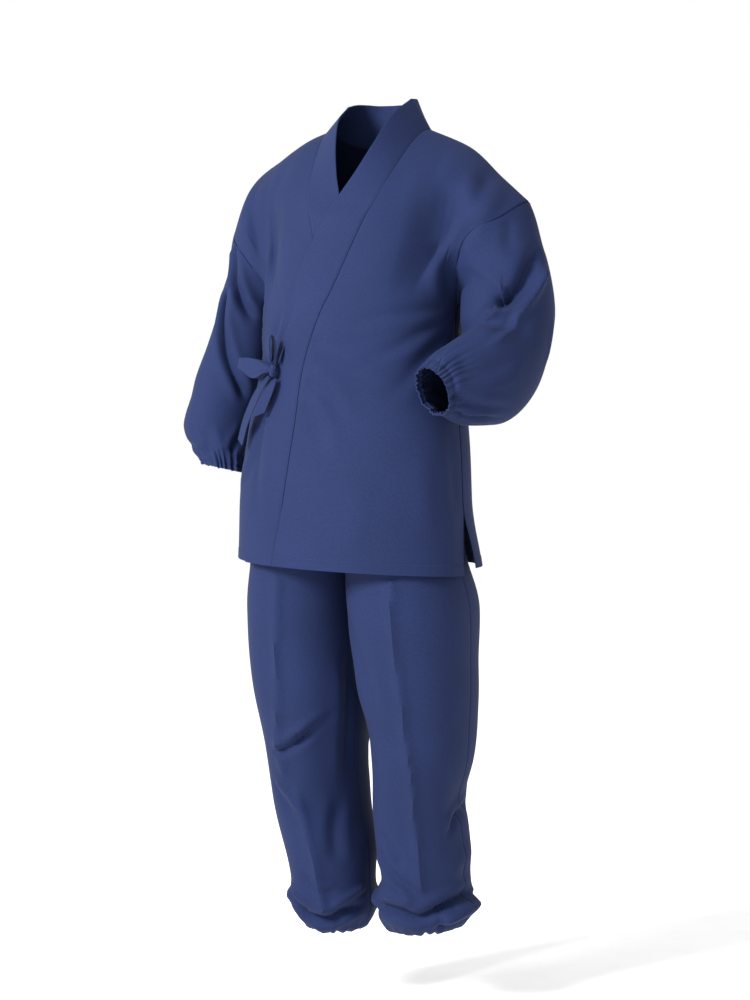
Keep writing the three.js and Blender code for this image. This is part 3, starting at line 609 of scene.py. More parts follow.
def add_node(tree, kind, inputs=None, **settings):
    """Adds one shader node with its settings, its socket values and its links."""
    node = tree.nodes.new(kind)
    for name, value in settings.items():
        setattr(node, name, value)
    for socket, value in (inputs or {}).items():
        if isinstance(value, bpy.types.NodeSocket):
            tree.links.new(value, node.inputs[socket])
        else:
            node.inputs[socket].default_value = value
    return node


def bare_material(name):
    """A material with no nodes yet, and its tree."""
    material = bpy.data.materials.new(name)
    material.use_nodes = True
    material.node_tree.nodes.clear()
    return material, material.node_tree


def add_skin(tree, **inputs):
    """Ends a material's tree with its surface."""
    inputs = {name.replace("_", " "): value for name, value in inputs.items()}
    skin = add_node(tree, "ShaderNodeBsdfPrincipled", inputs)
    add_node(tree, "ShaderNodeOutputMaterial", {"Surface": skin.outputs[0]})


def add_noise(tree, size, detail, place):
    """Soft noise with patches of about the given size in millimetres."""
    inputs = {"Vector": place, "Scale": 1 / (size * MM), "Detail": detail}
    return add_node(tree, "ShaderNodeTexNoise", inputs).outputs["Fac"]


def plain(name, colour, roughness):
    """A material of one colour with a slight fleck, for thread and the floor."""
    material, tree = bare_material(name)
    fleck = add_node(tree, "ShaderNodeTexNoise", {"Scale": 400.0, "Detail": 2.0}).outputs["Fac"]
    limits = {"Value": fleck, "To Min": 0.96, "To Max": 1.04}
    level = add_node(tree, "ShaderNodeMapRange", limits).outputs["Result"]
    inputs = {0: hex_colour(colour)[:3], 3: level}
    tint = add_node(tree, "ShaderNodeVectorMath", inputs, operation="SCALE").outputs[0]
    add_skin(tree, Base_Color=tint, Roughness=roughness, Specular_IOR_Level=0.2)
    return material


def cloth_material(sizes):
    """Twill-woven cotton blend, piece-dyed navy: matt, with a faint diagonal rib and a soft bloom."""
    found = bpy.data.materials.get(CLOTH_NAME)
    if found:
        return found
    material, tree = bare_material(CLOTH_NAME)
    place = add_node(tree, "ShaderNodeUVMap", uv_map="cut").outputs["UV"]
    # Twill rib: its threads are 0.5 mm apart, drawn at the rib size of the panel so that they show.
    rib = add_node(
        tree,
        "ShaderNodeTexWave",
        {"Vector": place, "Scale": 0.31 / sizes.rib, "Distortion": 1.2, "Detail": 1.0, "Detail Scale": 1.5},
        wave_type="BANDS",
        bands_direction="DIAGONAL",
    ).outputs["Fac"]
    # Slubs: slight unevenness of the yarn, about 4 mm long.
    slub = add_noise(tree, 4, 3.0, place)
    # Broad, barely visible differences from dyeing and pressing, about 90 mm across.
    dye = add_noise(tree, 90, 2.0, place)
    # The ribs show less than the slubs.
    faint = add_node(tree, "ShaderNodeMath", {0: rib, 1: 0.4}, operation="MULTIPLY").outputs[0]
    grain = add_node(tree, "ShaderNodeMath", {0: faint, 1: slub}, operation="ADD").outputs[0]
    limits = {"Value": grain, "From Min": 0.3, "From Max": 1.1}
    share = add_node(tree, "ShaderNodeMapRange", limits).outputs["Result"]
    shade, colour = hex_colour(to_hex(sizes.shade)), hex_colour(to_hex(sizes.colour))
    tint = add_node(tree, "ShaderNodeMix", {0: share, 6: shade, 7: colour}, data_type="RGBA").outputs[2]
    limits = {"Value": dye, "From Min": 0.3, "From Max": 0.7, "To Min": 0.94, "To Max": 1.06}
    worn = add_node(tree, "ShaderNodeMapRange", limits).outputs["Result"]
    final = add_node(tree, "ShaderNodeVectorMath", {0: tint, 3: worn}, operation="SCALE").outputs[0]
    bump = add_node(tree, "ShaderNodeBump", {"Height": grain, "Strength": 0.15, "Distance": 0.4 * MM})
    add_skin(
        tree,
        Base_Color=final,
        Normal=bump.outputs["Normal"],
        Roughness=0.85,
        Specular_IOR_Level=0.2,
        Sheen_Weight=0.02,
        Sheen_Roughness=0.5,
        Sheen_Tint=hex_colour("#aab4dc"),
    )
    return material


def to_hex(colour):
    """A colour property, kept in linear light, as an sRGB hex colour."""
    out = [12.92 * c if c <= 0.0031308 else 1.055 * c ** (1 / 2.4) - 0.055 for c in colour[:3]]
    return "#" + "".join(f"{round(255 * c):02x}" for c in out)


# ---------------------------------------------------------------- the jacket
BODY_FOLDS = folds("""
    # The valley between the chest and the left arm, and the edge of the chest beside it.
    18 -9 3 0 0 0.35 0.2: 0.563 0.56, 0.66 1.2, 0.76 1.9, 0.85 2.5, 0.92 3.1;
    15 4 0 0 0 0.4 0.2: 0.487 1.1, 0.551 1.86, 0.7 2.5, 0.82 2.98;
    # Troughs over the left upper arm.
    13 -4 2 2 0 0.3 0.4: 0.72 0.1, 0.78 0.7, 0.84 1.4, 0.9 2.1;
    # Drags from the left underarm towards the tie.
    10 -4 2.4 0 0 0.1 0.6: 0.984 3.09, 0.667 3.42, 0.371 3.8, 0.122 4.06;
    12 -4 2.4 0 0 0.1 0.6: 0.948 3.28, 0.695 3.8, 0.475 4.33, 0.287 4.59;
    9 -3 2 0 0 0.1 0.6: 0.904 2.99, 0.579 3.09, 0.263 3.2, 0.05 3.42;
    # The tie's pull across the waist.
    11 -3.4 3 0 0 0.25 0.5: -0.062 3.8, 0.122 4.06, 0.371 4.37;
    9 -2.8 2.4 0 0 0.2 0.6: -0.082 3.56, 0.054 3.7, 0.238 3.76;
    12 -3.4 3 0 0 0.2 0.5: -0.086 4.22, 0.046 4.53, 0.162 4.91;
    13 -2.8 2.4 0 0 0.2 0.5: -0.094 4.56, -0.002 4.98, 0.038 5.48;
    # A ridge from the right shoulder to the bow, and the valley beside the right arm.
    7 4.5 0 -2 0.45 0.3 0.15: -0.495 0.52, -0.563 1.62, -0.65 2.5, -0.69 3.27, -0.73 3.91;
    11 -6 2 2 0.2 0.35 0.2: -0.675 0.17, -0.711 1.25, -0.8 2.11, -0.82 2.94, -0.8 3.44;
    # Folds under the bow and above it.
    9 5 -2 2 0.3 0.2 0.4: -0.535 4.84, -0.491 5.2, -0.587 5.53, -0.776 5.8;
    12 -3.5 1.5 0 0 0.15 0.4: -0.403 4.35, -0.395 5.02, -0.383 5.64, -0.319 6.35;
    7 -3 1.5 0 0.2 0.4 0.1: -0.331 2.89, -0.399 3.42, -0.471 3.81;
    7 -2.5 1.2 0 0.2 0.5 0.1: -0.178 2.74, -0.259 3.33, -0.315 3.68;
    # Soft waves of the skirt.
    20 2.6 0 0 0 0.4 0.3: 0.603 5.11, 0.623 5.71, 0.647 6.53;
    22 2.2 0 0 0 0.4 0.3: 0.222 5.48, 0.206 6.11, 0.186 6.8;
    14 -2.8 0 0 0 0.3 0.3: 0.836 4.85, 0.876 5.49, 0.892 6.14;
    # The back: drags from the underarms, hollows by the shoulder blades, the slack waist, the skirt's waves.
    11 -4.5 2.5 0 0 0.1 0.5: 0.96 -2.8, 0.7 -2.9, 0.45 -3.3, 0.2 -3.5;
    11 -4 2.5 0 0 0.1 0.5: 0.95 -3.3, 0.7 -3.6, 0.45 -4.1;
    11 -4.5 0 2.5 0 0.1 0.5: -0.96 -2.7, -0.7 -2.85, -0.42 -3.2;
    12 -4 0 2.5 0 0.1 0.5: -0.95 -3.4, -0.72 -3.8, -0.5 -4.4;
    16 -6 0 2 0 0.35 0.3: 0.6 -1, 0.66 -1.9, 0.7 -2.7;
    16 -6 2 0 0 0.35 0.3: -0.6 -1, -0.67 -1.9, -0.72 -2.7;
    10 -3.5 2.5 2 0 0.3 0.35: 0.5 -4.3, 0.15 -4.55, -0.25 -4.45, -0.55 -4.2;
    9 -2.6 2 0 0 0.3 0.4: 0.35 -4.75, 0 -4.9, -0.3 -4.85;
    20 3 0 0 0 0.4 0.2: 0.33 -5, 0.36 -5.9, 0.38 -6.7;
    22 3 0 0 0 0.4 0.2: -0.2 -5.1, -0.22 -6, -0.23 -6.8;
    18 -3 0 0 0 0.4 0.2: -0.6 -4.9, -0.64 -5.8, -0.66 -6.6;
""")
SLEEVE_FOLDS = {
    "left": folds("""
        # The deep fold above the bent elbow, and the crisp edge of the forearm's cloth below it.
        12 -16 2 0 0.2 0.25 0.12: 0.321 0.66, 0.951 1, 1.24 1.43, 1.48 1.81, 1.794 2.09;
        8 11 0 -5 0.6 0.15 0.35: 0.46 1.01, 0.8 1.35, 1.077 1.75, 1.404 2.09, 1.731 2.35, 1.95 2.9, 1.9 4;
        # The crest that runs from it down and back to the cuff, and the slack under the crest.
        8 7 0 -3 0.5 0.15 0.35: 0.485 1.04, 0.774 1.39, 1.064 1.95, 1.25 2.54, 1.2 3.48, 1.1 4.43,
            1.15 5.16;
        14 -5 0 3 0 0.2 0.4: 1.14 6.12, 0.674 5.46, 0.586 4.63, 0.724 3.63;
        # Two small hooks where the deep fold ends, and a trough below the armhole seam.
        6 -5 0 2 0.3 0.2 0.2: 1.555 1.33, 1.48 1.74, 1.618 1.98;
        6 -3 0 1 0.3 0.2 0.3: 1.895 1.95, 1.8 2.2, 1.958 2.5;
        12 -4 0 0 0 0.3 0.4: 0.749 0.02, 1.102 0.34, 1.429 0.72;
        # Slack of the forearm, gathered towards the cuff.
        6 -6 3 2 0.3 0.1 0.4: -0.976 5.79, -0.699 5.04, -0.711 4.17;
        9 -5 3 1 0.2 0.1 0.5: 0.031 6.9, -0.296 5.82, -0.384 4.76, -0.434 4;
        7 -5 2 2 0.3 0.1 0.5: -0.523 6.9, -0.988 5.48, -1.215 4.43;
        14 3 0 0 0 0.3 0.4: 0.246 1.91, 0.006 2.53, -0.233 3.14;
        # The outer side and the back of the arm.
        16 -6 2 2 0 0.35 0.35: -0.9 0.4, -1.1 1.3, -1.5 2.3;
        13 -8 3 3 0.1 0.2 0.4: -2.4 0.8, -2.2 1.7, -1.6 2.6, -1 3.2;
        10 -4 2 2 0.1 0.3 0.2: -1.9 3.2, -2.2 4.3, -2.5 5.6;
    """),
    "right": folds("""
        # Two dark folds that curve down the arm: one from the armhole seam, one below it to the forearm.
        8 -10 3 3 0.3 0.1 0.25: 1.253 0.04, 1.643 0.27, 2.235 0.7, 2.6 1.15, 2.877 1.47;
        8 -12 3 3 0.4 0.3 0.15: 1.75 0.7, 1.819 0.93, 1.945 1.59, 2.248 2.17, 2.701 2.65, 3.104 3.03;
        # Folds above the cuff.
        7 -6 2 2 0.3 0.2 0.2: -3.016 3.7, -3.167 4.53, -3.381 5.64;
        7 -5 2 2 0.3 0.2 0.3: 0.837 4.64, 1.228 5.56, 1.5 6;
        9 -3 1 1 0.1 0.4 0.1: 2 4.2, 2.1 4.9, 2.05 5.7;
        # The outer side and the back of the arm.
        15 -4 2 0 0 0.35 0.35: 0.5 0.4, 0.35 1.4, 0.5 2.4;
        15 -5 2 2 0 0.35 0.35: -0.9 0.5, -1 1.6, -0.8 2.7;
        12 -7 3 2 0.1 0.2 0.4: -2.2 0.7, -1.8 1.6, -1.5 2.5;
        10 -4 2 2 0.1 0.3 0.2: -1.4 3, -1.6 4, -1.5 5.2;
        10 -4 2 2 0.1 0.3 0.2: 0.6 3.2, 0.5 4.2, 0.6 5.3;
    """),
}
LEG_FOLDS = {
    ("right", "front"): folds("""
        # The pressed crease, broken at the knee.
        11 8 0 0 0.85 0.02 0.2: 0.459 3.28, 0.459 4.06, 0.471 4.48, 0.481 5.14, 0.505 5.91, 0.491 6.31,
            0.444 6.63;
        13 10 0 0 0.8 0.25 0.05: 0.431 6.28, 0.404 6.97, 0.409 7.75, 0.409 8.49, 0.386 9.07;
        9 7 -2 -4 0.5 0.1 0.3: 0.556 6.47, 0.476 6.73, 0.404 7.05;
        # The deep fold from behind the knee, and the ridge above it.
        7 -10 5 2 0.5 0.15 0.6: 0.559 6.06, 0.449 5.95, 0.341 5.75, 0.251 5.54, 0.068 5.22;
        9 5 0 -2 0.2 0.2 0.5: 0.459 5.78, 0.351 5.59, 0.175 5.29;
        # The inner side.
        14 -6 0 3 0 0.3 0.3: 0.07 4.39, 0.05 5.05, 0.05 5.9, 0.06 6.72;
        12 -4 2 2 0 0.3 0.3: 0.115 6.68, 0.213 7.34, 0.268 8.04;
        # Folds over the ankle elastic.
        8 -13 6 5 0.4 0.15 0.2: 0.8 8.6, 0.589 8.92, 0.516 9.25, 0.391 9.36, 0.238 9.05, 0.015 8.85;
        9 9 0 -3 0.3 0.3 0.3: 1.05 8.75, 0.88 8.75, 0.7 8.95;
        6 6 0 -3 0.4 0.1 0.3: 0.622 8.64, 0.501 8.8, 0.396 8.91;
        6 6 0 -3 0.4 0.2 0.2: 0.351 8.85, 0.206 8.65, 0.025 8.47;
        8 -4 2 0 0.2 0.3 0.3: 0.524 8.1, 0.421 8.49, 0.266 8.57;
    """),
    ("left", "front"): folds("""
        # The pressed crease.
        12 9.5 0 0 0.85 0.02 0.08: 0.566 3.28, 0.546 4, 0.549 4.39, 0.559 4.97, 0.569 5.52, 0.584 5.95,
            0.612 6.41, 0.636 7.39, 0.636 8.01, 0.649 8.5;
        15 -5 3 0 0 0.2 0.4: 0.175 3.77, 0.303 4.38, 0.366 4.93, 0.398 5.54;
        # The outer side of the calf.
        34 -9 0 0 0 0.3 0.4: 1.3 6.75, 1.1 6.75, 0.95 6.8, 0.8 6.9;
        8 -8 0 3 0.4 0.2 0.4: 1.25 6.9, 1.1 6.92, 0.97 7.02, 0.9 7.21, 0.797 7.39;
        18 5 0 0 0.1 0.3 0.4: 1.2 7.7, 1 7.75, 0.912 7.92, 0.777 8.21;
        # From the inner side to the instep.
        7 6 -4 0 0.4 0.15 0.2: 0.303 7.6, 0.396 7.99, 0.491 8.31, 0.589 8.66;
        9 -5 2 2 0.2 0.3 0.3: 0.366 7.22, 0.479 7.54, 0.544 7.94;
        # Folds over the ankle elastic.
        9 -15 4 3 0.4 0.15 0.2: 0.2 8.75, 0.298 8.9, 0.469 8.99, 0.591 9.16, 0.724 8.88, 0.855 8.68, 1 8.6,
            1.2 8.55;
        9 -9 0 0 0.3 0.3 0.3: 0.69 9, 0.8 8.85, 0.9 8.78;
        # The big loop of cloth that stands out over the outer ankle.
        13 14 0 0 0.3 0.2 0.2: 0.74 9.3, 0.85 9.15, 1 9, 1.2 8.95;
        6 -5 0 0 0.4 0.2 0.2: 0.7 9.75, 0.82 9.65, 0.95 9.6, 1.1 9.55;
        # The inner ankle: a dip, and the fold that flares below it.
        24 -13 0 0 0 0.3 0.3: -0.2 8.05, 0.02 8.1, 0.2 8.25, 0.36 8.45;
        8 9 0 -4 0.4 0.2 0.3: -0.15 8.8, 0.03 8.72, 0.2 8.85, 0.4 9;
        6 5 0 -3 0.4 0.2 0.2: 0.373 8.49, 0.479 8.63, 0.574 8.72;
    """),
    # Behind: the pressed crease, folds behind the knee, and folds over the ankle elastic.
    ("right", "back"): folds("""
        11 5 0 0 0.7 0.1 0.1: 0.5 2.6, 0.5 4, 0.5 5.6, 0.49 7, 0.47 8.6;
        10 -8 4 2 0.2 0.15 0.2: 0.95 5.7, 0.7 5.95, 0.4 5.9, 0.12 5.6;
        9 -6 3 2 0.2 0.2 0.3: 0.9 6.3, 0.6 6.55, 0.3 6.4;
        9 -5 3 0 0.2 0.2 0.4: 0.15 6.2, 0.4 6.9, 0.6 7.2;
        7 -9 3 4 0.4 0.1 0.1: 0.95 8.7, 0.7 9.1, 0.4 9.15, 0.1 8.8;
        7 6 0 -3 0.4 0.2 0.2: 0.85 8.3, 0.55 8.6, 0.2 8.4;
    """),
    ("left", "back"): folds("""
        11 5 0 0 0.7 0.1 0.1: 0.5 2.6, 0.5 4, 0.5 5.6, 0.51 7, 0.5 8.6;
        10 -8 2 4 0.2 0.15 0.3: 0.1 5.6, 0.35 5.95, 0.55 5.9, 0.75 5.65;
        9 -6 3 2 0.2 0.2 0.4: 0.2 6.35, 0.45 6.55, 0.7 6.7;
        9 -5 3 0 0.2 0.2 0.4: 0.75 7.1, 0.55 7.5, 0.3 7.6;
        7 -9 3 4 0.4 0.2 0.1: 0.9 8.75, 0.7 8.95, 0.4 9.1, 0.1 8.8;
        7 6 0 -3 0.4 0.2 0.2: 0.8 8.2, 0.55 8.5, 0.2 8.35;
    """),
}

LINES = {}  # the folds laid in space, for the jacket and for each leg
GRIDS = {}  # each panel's outer face, its normals and its rows' numbers


def jacket_lines():
    """The folds of the jacket's body and sleeves, which run on over the armhole seams."""
    if "jacket" not in LINES:
        LINES["jacket"] = laid(BODY_FOLDS, body_form, -1)
        for side in SIDES:
            LINES["jacket"] += laid(SLEEVE_FOLDS[side], sleeve_form(side), sign_of(side))
    return LINES["jacket"]


def leg_lines(side):
    """The folds of one leg, which run on over its seams."""
    if side not in LINES:
        LINES[side] = []
        for face, turn in (("front", -1), ("back", 1)):
            LINES[side] += laid(LEG_FOLDS[side, face], leg_form(side, face), sign_of(side) * turn)
    return LINES[side]


def body_place(share, number, offset=0.0):
    """Points and normals of the worn jacket's cloth, folds included."""
    share, number = flat_pair(share, number)
    normals = normals_of(body_form, share, number, -1)
    points = body_form(share, number)
    height = offset + relief(points, normals, jacket_lines()) + slack(points, *JACKET_SLACK)
    points = points + normals * np.broadcast_to(height, len(points))[:, None]
    points[:, 2] -= HEM_SLANT * share * smooth(SLIT, HEM, number)
    return points, normals


def side_share(number):
    """Where a front or the back ends at its side: a little short of it down the slit."""
    return 1 - SLIT_PART * smooth(SLIT, SLIT + 0.6, number) - SIDE_GAP


def lap_offset(side, share, number):
    """The outer front stands off, and the under front stands in, where they overlap."""
    return side * LAP * (1 - smooth(0.82, 0.98, side * share)) * smooth(0.2, 1, number)


def thinned(seam):
    """Cloth is pressed thin where it is sewn."""
    return 0.45 + 0.55 * smooth(0, 2.5, seam)


def hemmed(grid, seam, sizes):
    """Thickness of a panel with a hem: two layers below the stitch line, drawn in along the line itself."""
    down = np.linalg.norm(grid - grid[-1:], axis=2)
    layers = np.where(down < sizes.hem / MM, HEM_THICKNESS, sizes.cloth / MM)
    return (layers - 0.5 * bell(down - sizes.hem / MM, STITCH_PULL)) * thinned(seam)


def add_front(side, sizes, material):
    sign = sign_of(side)
    rows = even_steps(body_form, sign * 0.6, SEAM / 100, HEM, BODY_ROWS)
    across = eased(FRONT_COLUMNS)
    inner = sign * column(FRONT_SEAM, rows) + sign * 0.001
    outer = sign * side_share(rows)
    share = inner[:, None] + (outer - inner)[:, None] * across[None, :]
    number = np.repeat(rows[:, None], len(across), 1)
    offset = lap_offset(sign, share.ravel(), number.ravel())
    grid, normals = as_grid(*body_place(share, number, offset), share.shape)
    seam = edge_distance(grid, True, True)
    thick = hemmed(grid, seam, sizes)
    grid = grid - normals * (0.9 * bell(seam, SEAM_DIP) * (number < SLIT))[..., None]
    return add_panel(f"front_{side}", grid, turned(grid, normals), thick, material, numbers=rows)


def add_back(sizes, material):
    angles = np.linspace(0, math.pi, BACK_NECK_COLUMNS)
    outside = eased(BACK_SIDE_COLUMNS)[:-1] * (FRONT_SEAM[0] - 1) + 1
    shares = np.concatenate([outside, FRONT_SEAM[0] * np.cos(angles), -outside[::-1]])
    beside = np.zeros(len(outside))
    start = np.concatenate([beside, NECK_DEPTH * np.sin(angles) ** NECK_ROUND, beside]) + SEAM / 100
    steps = even_steps(lambda a, b: body_form(a, -b), 0.5, 0, HEM, BODY_ROWS) / HEM
    number = start[None, :] + (HEM - start[None, :]) * steps[:, None]
    limit = side_share(number)
    share = np.clip(shares[None, :], -limit, limit)
    flare = np.where(share > 0, FLAP_FLARE["left"], FLAP_FLARE["right"])
    flare = flare * smooth(SLIT - 0.15, HEM + 0.3, number) * smooth(0.3, 0.9, np.abs(share))
    grid, normals = as_grid(*body_place(share, -number, flare.ravel()), share.shape)
    thick = hemmed(grid, edge_distance(grid, True, True), sizes)
    return add_panel("back", grid, normals, thick, material, numbers=number[:, 0])


def sleeve_fit(side, turn, level):
    """How far the arm fills a sleeve or leaves it flat, in broad soft areas."""
    if side == "left":
        # Its inner side rests against the trunk.
        inner = bell(turn - 2.75, 0.6) * plateau(0.4, 1.6, 2.2, 3.2, level)
        return 9 * inner - 8 * bell_round(turn, -0.12, 0.25) * plateau(0.1, 0.8, 3, 4.2, level)
    outer = bell_round(turn, 1.15, 0.25) * plateau(0, 0.7, 3.2, 4.2, level)
    # The cloth between its two long folds and the trunk stays full.
    inner = bell(turn - 2.95, 0.5) * plateau(0.4, 1.2, 2.4, 3.4, level)
    return 11 * inner - (12 - 6 * smooth(1.2, 2.2, level)) * outer


def add_sleeve(side, sizes, material):
    form, sign = sleeve_form(side), sign_of(side)
    rows = even_steps(form, 0.5, 0.004, CUFF, SLEEVE_ROWS, 0.5)
    angle, number = np.broadcast_arrays(around(SLEEVE_COLUMNS)[None, :], rows[:, None])
    points = form(angle, number)
    normals = normals_of(form, angle, number, sign)
    turn, level = angle.ravel(), number.ravel()
    height = relief(points, normals, jacket_lines()) + slack(points, *JACKET_SLACK)
    height = height + sleeve_fit(side, turn, level) + gathered(CUFF_GATHERS, sign, turn, level)
    # The casing's stitch line draws the cuff in.
    height = height - 2.2 * bell(level - 6.5, 0.12)
    grid, normals = as_grid(points + normals * height[:, None], normals, angle.shape, tube=True)
    thick = sizes.cloth / MM + CASING_THICKER * smooth(6.3, 6.5, number)
    return add_panel(f"sleeve_{side}", grid, normals, thick, material, tube=True, numbers=rows)


def band_side(side, columns):
    """Rows of points across the collar band on one side, from the hem up to the nape."""
    low = even_steps(body_form, 0.0, CROSSING, HEM, BAND_ROWS, 0.0)[::-1]
    share = side * (column(FRONT_SEAM, low)[:, None] - columns[None, :] * column(BAND_SHARE, low)[:, None])
    number = np.repeat(low[:, None], len(columns), 1)
    flat = body_place(share, number, side * LAP)[0].reshape(*share.shape, 3)

    # Above the crossing the band stands up from its seam to the collar's free edge.
    high = np.concatenate([low[low < TURN_UP], np.linspace(CROSSING, 0, COLLAR_ROWS)[1:]])
    angle = np.linspace(0, 1, NAPE_ROWS)[1:]
    front, back = np.array(COLLAR_FRONT[::-1], float), np.array(COLLAR_BACK, float)
    free_front = through(front[:, 0], front[:, None, 1:], high)
    nape = np.vstack([[0, *COLLAR_FRONT[-1][1:]], back])
    free = np.concatenate([free_front, through(nape[:, 0], nape[:, None, 1:], angle)])
    numbers = np.concatenate([high, -NECK_DEPTH * np.sin(angle * QUARTER) ** NECK_ROUND])
    shares = np.concatenate([column(FRONT_SEAM, high), FRONT_SEAM[0] * np.cos(angle * QUARTER)])
    free = free[:, (0, 4, 1) if side > 0 else (2, 4, 3)]
    free[:, 1] -= side * LAP * smooth(1.0, CROSSING, numbers)
    seam = body_place(side * shares, numbers, side * LAP * smooth(0.2, 1, numbers))[0]
    rise = free - seam
    # The seam edge is tucked a little under the cloth that it is sewn to, so that no gap shows.
    tuck = -2.5 / np.linalg.norm(rise, axis=1)
    reach = columns[None, :] + tuck[:, None] * (1 - columns[None, :])
    standing = seam[:, None, :] + rise[:, None, :] * reach[..., None]
    overlap = (low < TURN_UP).sum()
    blend = smooth(LIES_FLAT, CROSSING, low[-overlap:])[:, None, None]
    mixed = flat[-overlap:] * (1 - blend) + standing[:overlap] * blend
    return np.concatenate([flat[:-overlap], mixed, standing[overlap:]])


def add_band(material):
    columns = eased(TAPE_COLUMNS, 0.6)
    right, left = (band_side(side, columns) for side in (-1, 1))
    grid = np.concatenate([right, left[::-1][1:]])
    outward = (grid - np.array([0, -20, 0])) * (1, 1, 0)
    normals = turned(grid, outward)
    seam, free = edge_distance(grid, True, False), edge_distance(grid, False, True)
    thick = 2.3 * (0.35 + 0.65 * smooth(0, 3.5, seam)) * (0.6 + 0.4 * smooth(0, 1.5, free))
    return add_panel("collar_band", grid, normals, thick, material)


# ---------------------------------------------------------------- the trousers
def worn_in(side, turn, level):
    """How far the stance draws a leg's cloth in or lets it out, in broad soft areas round the leg."""
    if side == "left":
        return -11 * bell_round(turn, 0.5, 0.2) * plateau(4.8, 5.8, 7.6, 8.6, level)
    outer = bell_round(turn, 2.67, 0.3) * smooth(2.2, 3.2, level)
    inner = bell_round(turn, -0.47, 0.25) * plateau(4.6, 5.8, 7.4, 8.5, level)
    return 15 * inner - outer * (16 - 7 * smooth(8.3, 9.2, level))


def add_leg_panel(side, face, sizes, material):
    form = leg_form(side, face)
    sign = sign_of(side)
    rows = even_steps(form, 0.5, 0, LEG_END, LEG_ROWS, 0.5)
    across = 0.0004 + 0.9992 * eased(LEG_COLUMNS, 0.6)
    share, number = np.broadcast_arrays(across[None, :], rows[:, None])
    points = form(share, number)
    normals = normals_of(form, share, number, sign * (-1 if face == "front" else 1))
    width, level = share.ravel(), number.ravel()
    turn = width * math.pi if face == "front" else TURN - width * math.pi
    seed = 20 if side == "left" else 30
    height = relief(points, normals, leg_lines(side)) + slack(points, 2.0, seed) * smooth(2.6, 5, level)
    height = height + worn_in(side, turn, level) + gathered(LEG_GATHERS, seed, turn, level)
    grid, normals = as_grid(points + normals * height[:, None], normals, share.shape)
    seam = edge_distance(grid, True, True)
    grid = grid - normals * (0.8 * bell(seam, SEAM_DIP))[..., None]
    # Under the crotch the two sides' middle seams meet.
    gap = PELVIS[2][1] + 0.1 * sign - grid[:, :1, 0]
    near = bell(np.linalg.norm(grid - grid[:, :1], axis=2), 12)
    grid[..., 0] += gap * near * plateau(1.8, 2.2, CROTCH + 0.05, CROTCH + 0.3, number)
    thick = (sizes.cloth / MM + CASING_THICKER * smooth(10.5, 10.7, number)) * thinned(seam)
    name = f"trousers_{face}_{side}"
    return add_panel(name, grid, turned(grid, normals), thick, material, numbers=rows)


def add_waistband(material):
    z, mid_x, mid_y, half, front, behind = PELVIS[0]
    angle = around(WAISTBAND_COLUMNS)
    gap = SEAM + 0.6
    heights = z + gap + (WAISTBAND_HEIGHT - gap) * eased(WAISTBAND_ROWS)
    across = signed_power(np.sin(angle), 2 / TRUNK_SQUARENESS)
    ahead = signed_power(np.cos(angle), 2 / TRUNK_SQUARENESS)
    wave = 1.6 * gathers(angle, 30, 3)
    depth = np.where(ahead > 0, front, behind)
    ring = [mid_x + (half + wave) * across, mid_y - (depth + wave) * ahead]
    grid = np.stack([np.stack([*ring, np.full(len(angle), height)], 1) for height in heights])
    normals = turned(grid, grid - np.array([mid_x, mid_y, 0]), tube=True)
    return add_panel("trousers_waistband", grid, normals, 2.4, material, tube=True)


# ---------------------------------------------------------------- the ties
def add_tape(name, grid, like, material, tube=False):
    """A tie's tape, pressed thin at its edges, with a stitch line along them."""
    normals = turned(grid, like, tube)
    edge = np.full(grid.shape[:2], 9.0) if tube else edge_distance(grid, True, True)
    stitched = 1 - 0.22 * bell(edge - 2.2, 0.7)
    thick = TAPE * (0.55 + 0.45 * smooth(0, 1.2, edge)) * stitched
    return add_panel(name, grid, normals, thick, material, tube)


def add_flat_tie(name, material):
    across, rows = TAPES[name]
    direction = unit(np.array(across, float))
    rows = np.array(rows, float)
    steps = np.linspace(0, len(rows) - 1, TIE_ROWS)
    line = through(range(len(rows)), rows[:, None, :], steps)
    columns = eased(TAPE_COLUMNS, 0.5) - 0.5
    grid = line[:, None, :3] + columns[None, :, None] * line[:, None, 3:] * direction
    toward = unit(np.cross(np.gradient(line[:, :3], axis=0), direction))
    # Near the knot the tape is drawn into lengthwise pleats.
    depth = 0.7 * np.cos(columns * 2 * TURN)[None, :] * (1 - smooth(0, 0.45, steps / steps[-1]))[:, None]
    grid = grid + toward[:, None, :] * depth[..., None]
    return add_tape(name, grid, np.broadcast_to(toward[:, None, :], grid.shape), material)


def add_side_lead(material):
    table = np.array(SIDE_LEAD, float)
    line = through(range(len(table)), table[:, None, :], np.linspace(0, len(table) - 1, LEAD_ROWS))
    columns = eased(TAPE_COLUMNS, 0.5)
    low, high = SIDE_LEAD_NUMBERS
    share, number = np.broadcast_arrays(line[:, :1], (low + columns * (high - low))[None, :])
    lift = np.repeat(line[:, 1:], len(columns), 1)
    offset = lap_offset(-1, share.ravel(), number.ravel()) + LEAD_STANDS_OFF + lift.ravel()
    points, normals = body_place(share, number, offset)
    shape = *share.shape, 3
    return add_tape("tie_lead_side", points.reshape(shape), normals.reshape(shape), material)


